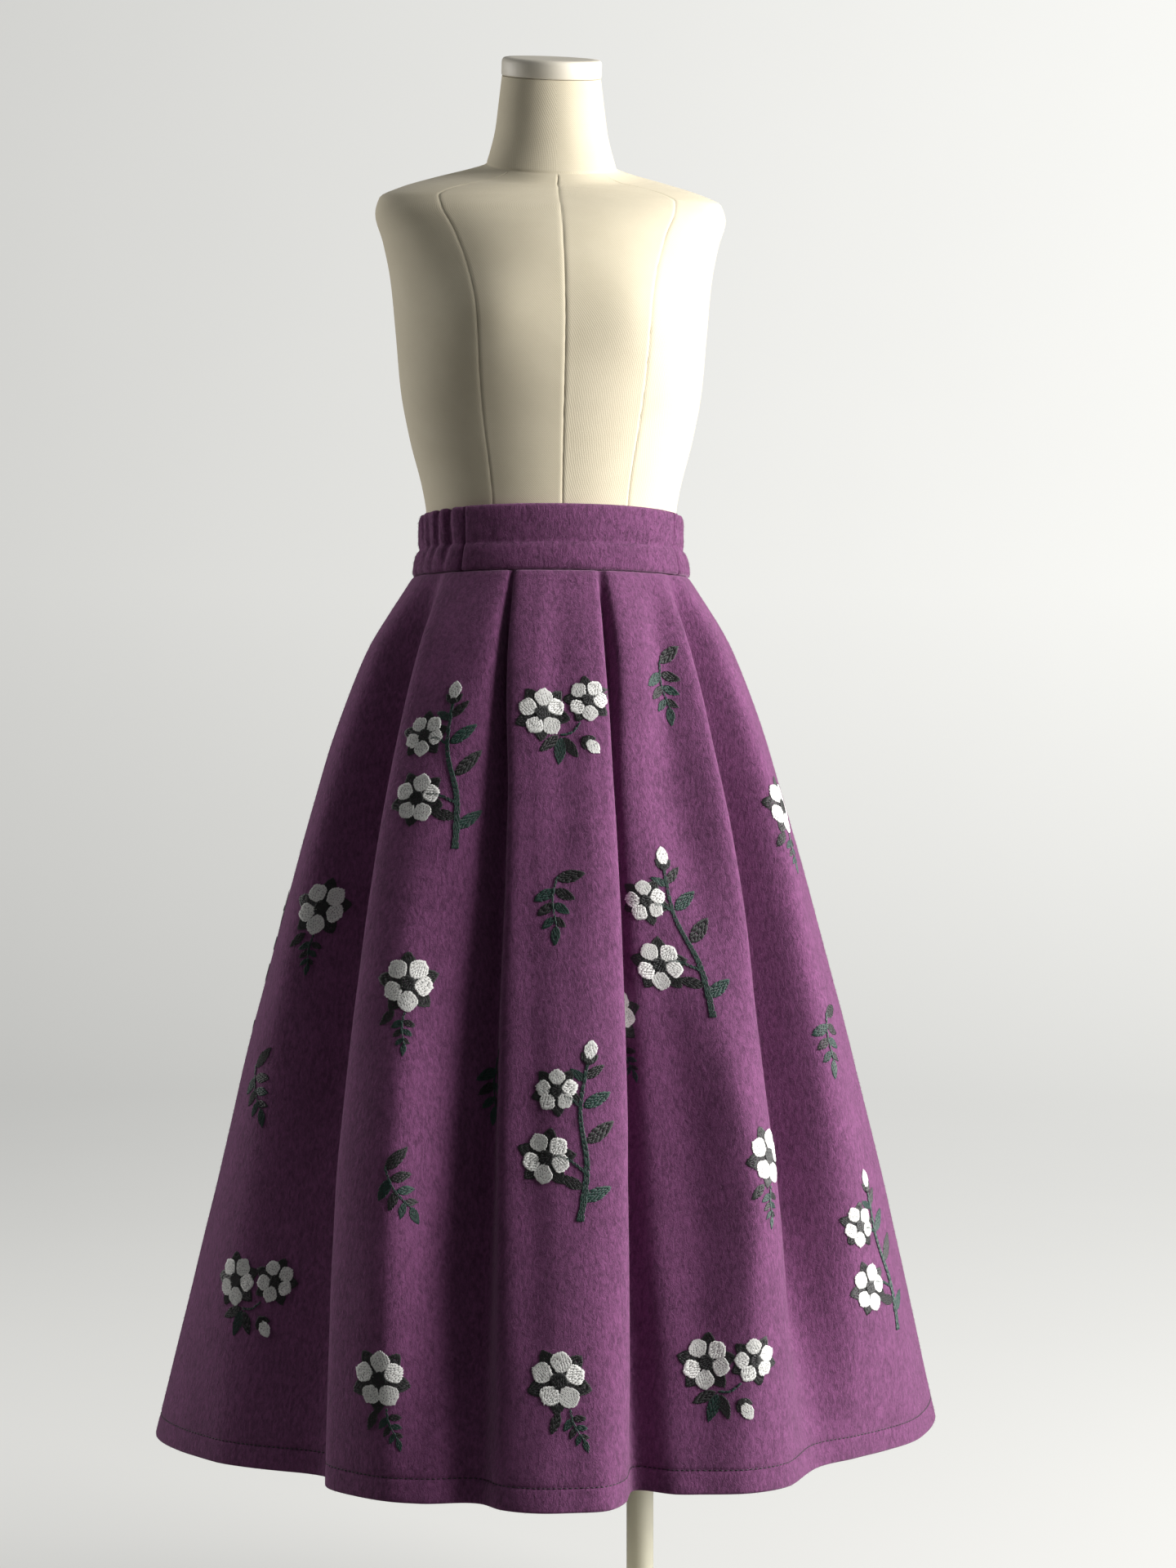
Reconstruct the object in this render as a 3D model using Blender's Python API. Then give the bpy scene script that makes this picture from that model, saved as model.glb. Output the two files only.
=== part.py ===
"""An a-line midi skirt of thick brushed wool, on a limbless dress form with a stand.

The skirt has deep soft pleats that fall from a padded waistband. The band is smooth
across the front and gathered on elastic round the sides and back. The form is a
closed torso with a tilted neck, and it stands on an off-centre pole and a round plate.

Metres, +Z up, front towards -Y. The origin is the middle of the plate's underside.
"""

import math

import bmesh
import bpy
from mathutils import Matrix, Vector

# Driving sizes of the skirt
HEM_Z = 0.226
SEAM_Z = 1.011
BAND_TOP_Z = 1.071
BAND_TOP_DROP = 0.008
WOOL = 0.003
HEM_ALLOWANCE = 0.022
HEM_TURN = 0.0025
GAP = 0.0003
CLEARANCE = 0.0004

# The skirt's plain outline: half its width and half its depth at each named height
OUTLINE = {
    "height": (SEAM_Z - GAP, 0.940, 0.800, 0.520, HEM_Z),
    "half_width": (0.1285, 0.171, 0.220, 0.292, 0.363),
    "half_depth": (0.1040, 0.137, 0.175, 0.240, 0.312),
}

# Folds across the front, set by eye to whole degrees and hundredths. Angles are in
# degrees from the front, towards +X, and reach is the share of the outline that the
# cloth stands out to. Both are given at the outline's heights.
FRONT_FOLDS = (
    # name, angles, reaches
    ("panel_1", (-72, -74, -73, -74, -68), (1.00, 1.00, 1.00, 0.97, 0.91)),
    ("valley_1", (-58, -56, -53, -50, -47), (0.98, 0.85, 0.80, 0.79, 0.80)),
    ("panel_2_left", (-52, -49, -47, -44, -42), (1.00, 1.00, 1.00, 0.98, 0.88)),
    ("panel_2", (-36, -36, -37, -31, -30), (1.00, 1.00, 1.02, 1.04, 0.93)),
    ("panel_2_right", (-23, -23, -24, -24, -24), (1.00, 0.98, 0.94, 0.89, 0.93)),
    ("valley_2", (-21, -20, -17, -17, -16), (0.97, 0.86, 0.83, 0.82, 0.90)),
    ("panel_3_left", (-19, -18, -15, -14, -12), (1.00, 0.98, 0.97, 0.96, 0.96)),
    ("panel_3_west", (-10, -10, -9, -8, -7), (1.00, 1.00, 0.99, 0.98, 0.99)),
    ("crease", (-2, -3, -3, -4, -3), (0.99, 0.98, 0.99, 1.00, 0.99)),
    ("panel_3_east", (7, 6, 5, 3, 2), (1.00, 1.00, 1.01, 1.00, 0.98)),
    ("panel_3_right", (13, 11, 10, 8, 5), (1.00, 0.99, 0.98, 0.96, 0.92)),
    ("valley_3", (15, 13, 11, 10, 9), (0.97, 0.85, 0.80, 0.75, 0.79)),
    ("panel_4_left", (18, 16, 13, 15, 14), (1.00, 0.97, 0.91, 0.83, 0.86)),
    ("panel_4_west", (28, 23, 18, 22, 18), (1.00, 0.98, 0.93, 0.88, 0.89)),
    ("panel_4_middle", (38, 32, 28, 30, 24), (0.99, 0.94, 0.92, 1.01, 0.93)),
    ("panel_4_east", (47, 41, 38, 38, 31), (1.00, 1.01, 1.03, 0.96, 0.93)),
    ("valley_4", (53, 50, 47, 46, 45), (0.98, 0.82, 0.75, 0.77, 0.84)),
    ("panel_5", (61, 60, 58, 55, 55), (1.00, 1.00, 1.02, 1.00, 0.87)),
    ("panel_5_side", (74, 72, 70, 67, 70), (1.00, 1.00, 1.00, 1.01, 0.95)),
)

# Folds across the back: evenly spaced and uneven in depth
BACK_FOLD_COUNT = 7
BACK_VALLEY_DEPTH = (0.015, 0.085, 0.135, 0.125, 0.075)
BACK_SWING_DEG = 3.0
CORNER_CUT = (0.0, 0.0, 0.01, 0.04, 0.09)

COLUMNS_PER_STEP = 3
ROW_SHARES = (0.0, 0.03, 0.07, 0.12, 0.19, 0.27, 0.37, 0.48, 0.60, 0.73, 0.86)

# Waistband: thickness outside the form at shares of its height, from the bottom
BAND_OUTER = (
    # share of height, thickness
    (0.000, 0.0088),
    (0.035, 0.0103),
    (0.180, 0.0106),
    (0.360, 0.0094),
    (0.520, 0.0072),
    (0.700, 0.0080),
    (0.950, 0.0074),
    (1.000, 0.0045),
)
BAND_LEFT_DEG = -44
BAND_RIGHT_DEG = 61
BAND_COLUMNS_FRONT = 20
RUCHE_COUNT = 28
RUCHE_DEPTH = 0.0022
RUCHE_COLUMNS = 3

# Dress form: half width, front and back depth, and forward tilt at each height
TORSO = (
    # height, half_width, front, back, tilt
    (0.700, 0.148, 0.096, 0.102, 0),
    (0.712, 0.154, 0.101, 0.108, 0),
    (0.740, 0.158, 0.103, 0.115, 0),
    (0.800, 0.160, 0.104, 0.120, 0),
    (0.870, 0.155, 0.101, 0.118, 0),
    (0.935, 0.140, 0.096, 0.107, 0),
    (0.985, 0.1250, 0.0925, 0.0950, 0),
    (1.011, 0.1185, 0.0908, 0.0895, 0),
    (1.030, 0.1155, 0.0898, 0.0868, 0),
    (1.050, 0.1145, 0.0894, 0.0856, 0),
    (1.071, 0.1158, 0.0902, 0.0858, 0),
    (1.093, 0.1195, 0.0925, 0.0872, 0),
    (1.138, 0.131, 0.100, 0.092, 0),
    (1.184, 0.1395, 0.110, 0.097, 0),
    (1.235, 0.144, 0.116, 0.102, 0),
    (1.285, 0.149, 0.108, 0.104, 1),
    (1.320, 0.156, 0.095, 0.100, 2),
    (1.345, 0.163, 0.080, 0.089, 5),
    (1.3600, 0.159, 0.069, 0.079, 9),
    (1.3705, 0.138, 0.063, 0.073, 13),
    (1.3790, 0.108, 0.060, 0.069, 17),
    (1.3860, 0.077, 0.0585, 0.064, 20),
    (1.3920, 0.0615, 0.0565, 0.0590, 20),
    (1.4060, 0.0565, 0.0530, 0.0550, 20),
    (1.4250, 0.0520, 0.0500, 0.0510, 19),
    (1.4490, 0.0490, 0.0475, 0.0480, 18.5),
    (1.4755, 0.0458, 0.0450, 0.0455, 18),
)
TORSO_COLUMNS = 48
TORSO_SQUARENESS = 2.15
BUST_X = 0.078
BUST_Z = 1.235
BUST_RISE = 0.008
BUST_SPREAD_X = 0.046
BUST_SPREAD_Z = 0.050
CAP_HEIGHT = 0.017
CAP_HALF_WIDTH = 0.0464

# Stand
POLE_X = 0.083
POLE_DIAMETER = 0.025
PLATE_DIAMETER = 0.380
PLATE_THICKNESS = 0.008
PLATE_EDGE = 0.002
SOCKET_PROFILE = ((0.0, 0.030), (0.017, 0.030), (0.020, 0.027), (0.023, 0.006), (0.025, 0.0))
FLANGE_PROFILE = ((0.0, 0.016), (0.026, 0.016), (0.026, 0.010), (0.018, 0.0))
ROUND_SIDES = 32

WOOL_PLUM = (0.105, 0.030, 0.100)
CANVAS_CREAM = (0.66, 0.60, 0.46)
CAP_CREAM = (0.80, 0.76, 0.64)
PAINT_CREAM = (0.72, 0.69, 0.56)


def clear_scene():
    for old in list(bpy.data.objects):
        bpy.data.objects.remove(old, do_unlink=True)


def make_material(name, colour, roughness):
    material = bpy.data.materials.new(name)
    material.use_nodes = True
    shader = material.node_tree.nodes["Principled BSDF"]
    shader.inputs["Base Color"].default_value = (*colour, 1.0)
    shader.inputs["Roughness"].default_value = roughness
    shader.inputs["Metallic"].default_value = 0.0
    return material


def add_object(name, mesh_maker, material):
    """Puts a finished bmesh in the part's collection as a named object."""
    bmesh.ops.recalc_face_normals(mesh_maker, faces=mesh_maker.faces[:])
    mesh = bpy.data.meshes.new(name)
    mesh_maker.to_mesh(mesh)
    mesh_maker.free()
    mesh.materials.append(material)
    mesh.shade_smooth()
    mesh.set_sharp_from_angle(angle=math.radians(50))
    piece = bpy.data.objects.new(name, mesh)
    bpy.data.collections["skirt_on_dress_form"].objects.link(piece)
    return piece


def smooth_between(stations, values, at):
    """A cubic through the values that never swings past them."""
    steps = [b - a for a, b in zip(stations, stations[1:])]
    rises = [(b - a) / h for a, b, h in zip(values, values[1:], steps)]
    slopes = [rises[0]]
    for before, after in zip(rises, rises[1:]):
        together = before * after > 0
        slopes.append(2 * before * after / (before + after) if together else 0.0)
    slopes.append(rises[-1])
    rising = stations[-1] > stations[0]
    place = 0
    while place < len(steps) - 1 and (at > stations[place + 1]) == rising:
        place += 1
    h = steps[place]
    t = min(max((at - stations[place]) / h, 0.0), 1.0)
    return (
        values[place] * (2 * t**3 - 3 * t**2 + 1)
        + slopes[place] * h * (t**3 - 2 * t**2 + t)
        + values[place + 1] * (3 * t**2 - 2 * t**3)
        + slopes[place + 1] * h * (t**3 - t**2)
    )


def at_height(values, height):
    return smooth_between(OUTLINE["height"], values, height)


def fold_points(height):
    """The crests, edges and valleys of the cloth round one height, as (angle, reach)."""
    points = [(-90.0, 1.0)]
    for _, angles, reaches in FRONT_FOLDS:
        points.append((at_height(angles, height), at_height(reaches, height)))
    points.append((90.0, 1.0))
    depth = at_height(BACK_VALLEY_DEPTH, height)
    cut = at_height(CORNER_CUT, height)
    spacing = 180.0 / BACK_FOLD_COUNT
    for half_step in range(1, 2 * BACK_FOLD_COUNT):
        angle = 90.0 + half_step * spacing / 2
        angle += BACK_SWING_DEG * math.sin(2.1 * half_step + 1.0)
        reach = 1.0 - cut * abs(math.sin(math.radians(2 * angle)))
        if half_step % 2 == 0:
            reach -= depth * (1.0 + 0.3 * math.sin(1.7 * half_step + 0.4))
        points.append((angle, reach))
    return points


def skirt_ring(height):
    """One closed line round the outer face of the cloth, and its outward directions.

    A rounded curve runs through the fold points. The first point is on the side at -X,
    and the line goes across the front, so the panels are taken from it by number.
    """
    half_width = at_height(OUTLINE["half_width"], height)
    half_depth = at_height(OUTLINE["half_depth"], height)
    knots = [
        Vector((
            half_width * reach * math.sin(math.radians(angle)),
            -half_depth * reach * math.cos(math.radians(angle)),
        ))
        for angle, reach in fold_points(height)
    ]
    count = len(knots)
    line = []
    for place in range(count):
        before, start, end, after = (knots[(place + k) % count] for k in (-1, 0, 1, 2))
        lengths = [math.sqrt((b - a).length) for a, b in ((before, start), (start, end), (end, after))]
        leave = (start - before) / lengths[0] - (end - before) / (lengths[0] + lengths[1])
        leave += (end - start) / lengths[1]
        arrive = (end - start) / lengths[1] - (after - start) / (lengths[1] + lengths[2])
        arrive += (after - end) / lengths[2]
        leave *= lengths[1]
        arrive *= lengths[1]
        for step in range(COLUMNS_PER_STEP):
            t = step / COLUMNS_PER_STEP
            line.append(
                start * (2 * t**3 - 3 * t**2 + 1)
                + leave * (t**3 - 2 * t**2 + t)
                + end * (3 * t**2 - 2 * t**3)
                + arrive * (t**3 - t**2)
            )
    outward = []
    for place, _ in enumerate(line):
        along = line[(place + 1) % len(line)] - line[place - 1]
        outward.append(Vector((along.y, -along.x)).normalized())
    return line, outward


def wall(name, outer, inner, material):
    """A closed solid between two grids of points, open-ended along the first index."""
    maker = bmesh.new()
    grids = [[[maker.verts.new(p) for p in row] for row in grid] for grid in (outer, inner)]
    last = len(outer) - 1
    edge = len(outer[0]) - 1
    for column in range(last):
        for grid in grids:
            here, there = grid[column], grid[column + 1]
            for row in range(edge):
                maker.faces.new((here[row], there[row], there[row + 1], here[row + 1]))
        for row in (0, edge):
            maker.faces.new((
                grids[0][column][row], grids[0][column + 1][row],
                grids[1][column + 1][row], grids[1][column][row],
            ))
    for column in (0, last):
        for row in range(edge):
            maker.faces.new((
                grids[0][column][row], grids[0][column][row + 1],
                grids[1][column][row + 1], grids[1][column][row],
            ))
    return add_object(name, maker, material)


def skirt_rows():
    """Heights down the skirt with the wall's thickness at each, doubled along the hem."""
    top = OUTLINE["height"][0]
    rows = [(top + (HEM_Z - top) * share, WOOL) for share in ROW_SHARES]
    rows.append((HEM_Z + HEM_ALLOWANCE + HEM_TURN, WOOL))
    rows.append((HEM_Z + HEM_ALLOWANCE, WOOL + HEM_TURN))
    rows.append((HEM_Z, WOOL + HEM_TURN))
    return rows


def skirt_panel(name, first, last, material):
    """The cloth between two numbered columns, parted from its neighbour at each side."""
    rings = [(height, thickness, *skirt_ring(height)) for height, thickness in skirt_rows()]
    outer, inner = [], []
    for column in range(first, last + 1):
        outer_line, inner_line = [], []
        for height, thickness, line, outward in rings:
            place = column % len(line)
            point, normal = line[place], outward[place]
            along = Vector((-normal.y, normal.x))
            if column == first:
                point = point + along * GAP / 2
            if column == last:
                point = point - along * GAP / 2
            within = point - normal * thickness
            outer_line.append((*point, height))
            inner_line.append((*within, height))
        outer.append(outer_line)
        inner.append(inner_line)
    return wall(name, outer, inner, material)


def torso_section(height):
    """Half width, front and back depth, and tilt of the form at a height."""
    stations = [row[0] for row in TORSO]
    return [
        smooth_between(stations, [row[column] for row in TORSO], height)
        for column in (1, 2, 3, 4)
    ]


def torso_point(height, angle, outwards=0.0):
    """A point of the form's surface, or one that stands out from it."""
    half_width, front, back, tilt = torso_section(height)
    power = 2.0 / TORSO_SQUARENESS
    side, ahead = math.sin(angle), math.cos(angle)
    depth = front if ahead > 0 else back
    x = half_width * math.copysign(abs(side) ** power, side)
    y = -depth * math.copysign(abs(ahead) ** power, ahead)
    if ahead > 0:
        across = math.exp(-(((abs(x) - BUST_X) / BUST_SPREAD_X) ** 2))
        upright = math.exp(-(((height - BUST_Z) / BUST_SPREAD_Z) ** 2))
        y -= BUST_RISE * across * upright * min(1.0, 3 * ahead)
    if outwards:
        slope = Vector((x / half_width**2, y / depth**2)).normalized()
        x += slope.x * outwards
        y += slope.y * outwards
    lean = math.radians(tilt)
    return Vector((x, y * math.cos(lean), height + y * math.sin(lean)))


def band_top(angle):
    """The band's top edge, which dips a little towards the back."""
    return BAND_TOP_Z - BAND_TOP_DROP * (1 - math.cos(angle)) / 2


def waistband(name, angles, material, ruches=0):
    """A padded strip round the form, on the form's own section."""
    outer, inner = [], []
    for number, angle in enumerate(angles):
        swell = 0.0
        if ruches:
            turn = 2 * math.pi * ruches * number / (len(angles) - 1)
            uneven = 1.0 + 0.35 * math.sin(0.37 * number)
            swell = -RUCHE_DEPTH * uneven * (1 + math.cos(turn)) / 2
        top = band_top(angle) + swell * 0.6
        outer_line, inner_line = [], []
        for share, thickness in BAND_OUTER:
            height = SEAM_Z + share * (top - SEAM_Z)
            puckered = thickness + swell * min(1.0, 4 * share)
            outer_line.append(torso_point(height, angle, CLEARANCE + puckered))
            inner_line.append(torso_point(height, angle, CLEARANCE))
        outer.append(outer_line)
        inner.append(inner_line)
    return wall(name, outer, inner, material)


def angles_between(start_deg, end_deg, steps):
    start, end = math.radians(start_deg), math.radians(end_deg)
    return [start + (end - start) * n / steps for n in range(steps + 1)]


def closed_loft(name, rings, material):
    """A closed solid through rings of points, with flat ends."""
    maker = bmesh.new()
    loops = [[maker.verts.new(p) for p in ring] for ring in rings]
    for lower, upper in zip(loops, loops[1:]):
        for place, _ in enumerate(lower):
            following = (place + 1) % len(lower)
            maker.faces.new((lower[place], lower[following], upper[following], upper[place]))
    maker.faces.new(loops[0][::-1])
    maker.faces.new(loops[-1])
    return add_object(name, maker, material)


def dress_form(material):
    turns = [2 * math.pi * n / TORSO_COLUMNS for n in range(TORSO_COLUMNS)]
    rings = [[torso_point(row[0], turn) for turn in turns] for row in TORSO]
    return closed_loft("form_torso", rings, material)


def neck_cap(material):
    """A shallow turned cap that closes the neck at the neck's own tilt."""
    height, _, front, back, tilt = TORSO[-1]
    profile = ((0.0, 0.0), (0.0, 1.0), (0.88, 1.0), (1.0, 0.95), (1.0, 0.0))
    maker = bmesh.new()
    loops = []
    for rise, share in profile[1:-1]:
        ring = []
        for n in range(ROUND_SIDES):
            turn = 2 * math.pi * n / ROUND_SIDES
            x = CAP_HALF_WIDTH * share * math.sin(turn)
            y = -CAP_HALF_WIDTH * share * math.cos(turn)
            ring.append(maker.verts.new((x, y, rise * CAP_HEIGHT)))
        loops.append(ring)
    for lower, upper in zip(loops, loops[1:]):
        for n in range(ROUND_SIDES):
            after = (n + 1) % ROUND_SIDES
            maker.faces.new((lower[n], lower[after], upper[after], upper[n]))
    maker.faces.new(loops[0][::-1])
    maker.faces.new(loops[-1])
    place = Matrix.Translation((0, (back - front) / 2, height))
    place = place @ Matrix.Rotation(math.radians(tilt), 4, "X") @ Matrix.Translation((0, 0, GAP))
    bmesh.ops.transform(maker, matrix=place, verts=maker.verts[:])
    return add_object("neck_cap", maker, material)


def turned(name, profile, place, material):
    """A round solid from a profile of (radius, height) turned about an upright axis."""
    maker = bmesh.new()
    points = [maker.verts.new((radius, 0, height)) for radius, height in profile]
    for a, b in zip(points, points[1:]):
        maker.edges.new((a, b))
    bmesh.ops.spin(
        maker, geom=maker.verts[:] + maker.edges[:], cent=(0, 0, 0), axis=(0, 0, 1),
        angle=2 * math.pi, steps=ROUND_SIDES, use_merge=True, use_duplicate=False,
    )
    bmesh.ops.remove_doubles(maker, verts=maker.verts[:], dist=0.00001)
    bmesh.ops.translate(maker, vec=place, verts=maker.verts[:])
    return add_object(name, maker, material)


def stand(material):
    radius = PLATE_DIAMETER / 2
    plate = (
        (0.0, 0.0), (radius, 0.0), (radius, PLATE_THICKNESS - PLATE_EDGE),
        (radius - PLATE_EDGE, PLATE_THICKNESS), (0.0, PLATE_THICKNESS),
    )
    turned("base_plate", plate, (0, 0, 0), material)
    socket = [(r, h) for r, h in reversed(SOCKET_PROFILE)]
    socket_top = max(h for _, h in SOCKET_PROFILE)
    socket_bottom = PLATE_THICKNESS + GAP
    turned("base_socket", [(0.0, 0.0), *socket], (POLE_X, 0, socket_bottom), material)
    flange_height = max(h for _, h in FLANGE_PROFILE)
    flange_bottom = TORSO[0][0] - GAP - flange_height
    turned("form_flange", [*FLANGE_PROFILE, (0.0, 0.0)], (POLE_X, 0, flange_bottom), material)
    pole_bottom = socket_bottom + socket_top + GAP
    pole_length = flange_bottom - GAP - pole_bottom
    pole = (
        (0.0, 0.0), (POLE_DIAMETER / 2, 0.0),
        (POLE_DIAMETER / 2, pole_length), (0.0, pole_length),
    )
    turned("stand_pole", pole, (POLE_X, 0, pole_bottom), material)


def build():
    clear_scene()
    collection = bpy.data.collections.new("skirt_on_dress_form")
    bpy.context.scene.collection.children.link(collection)
    wool = make_material("plum_fleece", WOOL_PLUM, 0.95)
    canvas = make_material("form_canvas", CANVAS_CREAM, 0.85)
    cap = make_material("form_cap", CAP_CREAM, 0.60)
    paint = make_material("stand_paint", PAINT_CREAM, 0.45)

    front_columns = COLUMNS_PER_STEP * (len(FRONT_FOLDS) + 1)
    all_columns = front_columns + COLUMNS_PER_STEP * 2 * BACK_FOLD_COUNT
    skirt_panel("skirt_front", 0, front_columns, wool)
    skirt_panel("skirt_back", front_columns, all_columns, wool)

    half_gap = math.degrees(GAP / 2 / TORSO[9][1])
    front = angles_between(BAND_LEFT_DEG + half_gap, BAND_RIGHT_DEG - half_gap, BAND_COLUMNS_FRONT)
    waistband("waistband_front", front, wool)
    back = angles_between(
        BAND_RIGHT_DEG + half_gap, 360 + BAND_LEFT_DEG - half_gap, RUCHE_COUNT * RUCHE_COLUMNS
    )
    waistband("waistband_back", back, wool, RUCHE_COUNT)

    dress_form(canvas)
    neck_cap(cap)
    stand(paint)


build()
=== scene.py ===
import math
import random

import bmesh
import bpy
from mathutils import Matrix, Vector, noise


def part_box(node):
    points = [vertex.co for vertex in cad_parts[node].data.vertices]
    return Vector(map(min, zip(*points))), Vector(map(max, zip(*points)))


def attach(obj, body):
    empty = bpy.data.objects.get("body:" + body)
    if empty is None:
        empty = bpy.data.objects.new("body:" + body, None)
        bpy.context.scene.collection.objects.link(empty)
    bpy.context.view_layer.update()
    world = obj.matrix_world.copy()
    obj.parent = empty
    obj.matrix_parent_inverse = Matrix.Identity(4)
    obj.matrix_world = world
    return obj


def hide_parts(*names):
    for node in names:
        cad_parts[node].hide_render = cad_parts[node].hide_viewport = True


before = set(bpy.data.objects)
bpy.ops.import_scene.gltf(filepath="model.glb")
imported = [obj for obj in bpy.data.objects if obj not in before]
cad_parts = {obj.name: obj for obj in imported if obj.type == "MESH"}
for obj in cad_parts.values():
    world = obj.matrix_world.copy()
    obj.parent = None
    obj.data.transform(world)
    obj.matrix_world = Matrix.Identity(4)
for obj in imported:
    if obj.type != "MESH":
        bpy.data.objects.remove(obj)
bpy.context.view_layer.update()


# The form's body: a hard hollow torso with no limbs, tightly covered in cream cotton twill.
# The cover is cut in gores, sewn up the middles, over the bust, and down the sides and back,
# and a ring seam joins it to the neck's own cover.
TORSO = (
    # height, half_width, front, back, tilt
    (0.700, 0.148, 0.096, 0.102, 0),
    (0.712, 0.154, 0.101, 0.108, 0),
    (0.740, 0.158, 0.103, 0.115, 0),
    (0.800, 0.160, 0.104, 0.120, 0),
    (0.870, 0.155, 0.101, 0.118, 0),
    (0.935, 0.140, 0.096, 0.107, 0),
    (0.985, 0.1250, 0.0925, 0.0950, 0),
    (1.011, 0.1185, 0.0908, 0.0895, 0),
    (1.030, 0.1155, 0.0898, 0.0868, 0),
    (1.050, 0.1145, 0.0894, 0.0856, 0),
    (1.071, 0.1158, 0.0902, 0.0858, 0),
    (1.093, 0.1195, 0.0925, 0.0872, 0),
    (1.138, 0.131, 0.100, 0.092, 0),
    (1.184, 0.1395, 0.110, 0.097, 0),
    (1.235, 0.144, 0.116, 0.102, 0),
    (1.285, 0.149, 0.108, 0.104, 1),
    (1.320, 0.156, 0.095, 0.100, 2),
    (1.345, 0.163, 0.080, 0.089, 5),
    (1.3600, 0.159, 0.069, 0.079, 9),
    (1.3705, 0.138, 0.063, 0.073, 13),
    (1.3790, 0.108, 0.060, 0.069, 17),
    (1.3860, 0.077, 0.0585, 0.064, 20),
    (1.3920, 0.0615, 0.0565, 0.0590, 20),
    (1.4060, 0.0565, 0.0530, 0.0550, 20),
    (1.4250, 0.0520, 0.0500, 0.0510, 19),
    (1.4490, 0.0490, 0.0475, 0.0480, 18.5),
    (1.4755, 0.0458, 0.0450, 0.0455, 18),
)
TORSO_SQUARENESS = 2.15
BUST_X = 0.078
BUST_Z = 1.235
BUST_RISE = 0.008
BUST_SPREAD_X = 0.046
BUST_SPREAD_Z = 0.050
NECK_SEAM_Z = 1.3935
GORE_SEAMS = (
    # height, and the angles of the two seams over the bust and shoulder blade
    (0.700, 31, 147),
    (1.050, 30, 150),
    (1.235, 31, 148),
    (1.345, 39, 141),
    (1.386, 45, 135),
    (1.476, 45, 135),
)
SEAM_DEPTH = 0.0009
SEAM_PROFILE = (
    # share of the gore, share of the depth
    (0.0, 1.0), (0.008, 0.35), (0.024, -0.12), (0.05, 0.0),
)
NECK_SEAM_WIDTH = 0.0016
NECK_SEAM_ROWS = (-0.002, -0.0008, 0.0, 0.0008, 0.002)
GORE_STEPS = 12
ROW_SPAN = 0.0065
CANVAS_LIGHT = (0.760, 0.690, 0.525)
CANVAS_DARK = (0.600, 0.530, 0.380)
TWILL_RIBS_PER_METRE = 480.0
TWILL_UNEVENNESS = 0.75


def cubic(start, leave, end, arrive, t):
    """A smooth step from start to end that sets off and comes in with the given slopes."""
    return (
        start * (2 * t**3 - 3 * t**2 + 1)
        + leave * (t**3 - 2 * t**2 + t)
        + end * (3 * t**2 - 2 * t**3)
        + arrive * (t**3 - t**2)
    )


def smooth_between(stations, values, at):
    """A cubic through the values that never swings past them."""
    steps = [b - a for a, b in zip(stations, stations[1:])]
    rises = [(b - a) / h for a, b, h in zip(values, values[1:], steps)]
    slopes = [rises[0]]
    for before, after in zip(rises, rises[1:]):
        together = before * after > 0
        slopes.append(2 * before * after / (before + after) if together else 0.0)
    slopes.append(rises[-1])
    rising = stations[-1] > stations[0]
    place = 0
    while place < len(steps) - 1 and (at > stations[place + 1]) == rising:
        place += 1
    h = steps[place]
    t = min(max((at - stations[place]) / h, 0.0), 1.0)
    return cubic(values[place], slopes[place] * h, values[place + 1], slopes[place + 1] * h, t)


def torso_section(height):
    """Half width, front and back depth, and tilt of the form at a height."""
    stations = [row[0] for row in TORSO]
    return [smooth_between(stations, [row[k] for row in TORSO], height) for k in (1, 2, 3, 4)]


def torso_point(height, angle, outwards=0.0, section=None):
    """A point of the form's surface, or one that stands out from it."""
    half_width, front, back, tilt = section or torso_section(height)
    power = 2.0 / TORSO_SQUARENESS
    side, ahead = math.sin(angle), math.cos(angle)
    depth = front if ahead > 0 else back
    x = half_width * math.copysign(abs(side) ** power, side)
    y = -depth * math.copysign(abs(ahead) ** power, ahead)
    if ahead > 0:
        across = math.exp(-(((abs(x) - BUST_X) / BUST_SPREAD_X) ** 2))
        upright = math.exp(-(((height - BUST_Z) / BUST_SPREAD_Z) ** 2))
        y -= BUST_RISE * across * upright * min(1.0, 3 * ahead)
    if outwards:
        slope = Vector((x / half_width**2, y / depth**2)).normalized()
        x += slope.x * outwards
        y += slope.y * outwards
    lean = math.radians(tilt)
    return Vector((x, y * math.cos(lean), height + y * math.sin(lean)))


def run_along(points):
    """How far along a line of points each of them lies."""
    reached = [0.0]
    for here, there in zip(points, points[1:]):
        reached.append(reached[-1] + (there - here).length)
    return reached


def mapped_grid(columns, rows, place):
    """A bmesh grid with each vertex moved to place(column, row), and a UV map in metres.

    Columns run towards +X across the front and rows run up, so that faces point outwards.
    """
    maker = bmesh.new()
    bmesh.ops.create_grid(maker, x_segments=columns, y_segments=rows, size=1.0)
    layer = maker.loops.layers.uv.new("cloth")
    number = {}
    points = [[None] * (rows + 1) for _ in range(columns + 1)]
    for vert in maker.verts:
        column = round((vert.co.x + 1) / 2 * columns)
        row = round((vert.co.y + 1) / 2 * rows)
        number[vert] = (column, row)
        vert.co = place(column, row)
        points[column][row] = vert.co.copy()
    upwards = run_along(points[0])
    across = [run_along([line[row] for line in points]) for row in range(rows + 1)]
    for face in maker.faces:
        for loop in face.loops:
            column, row = number[loop.vert]
            loop[layer].uv = (across[row][column] - across[row][-1] / 2, upwards[row])
    return maker


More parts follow.
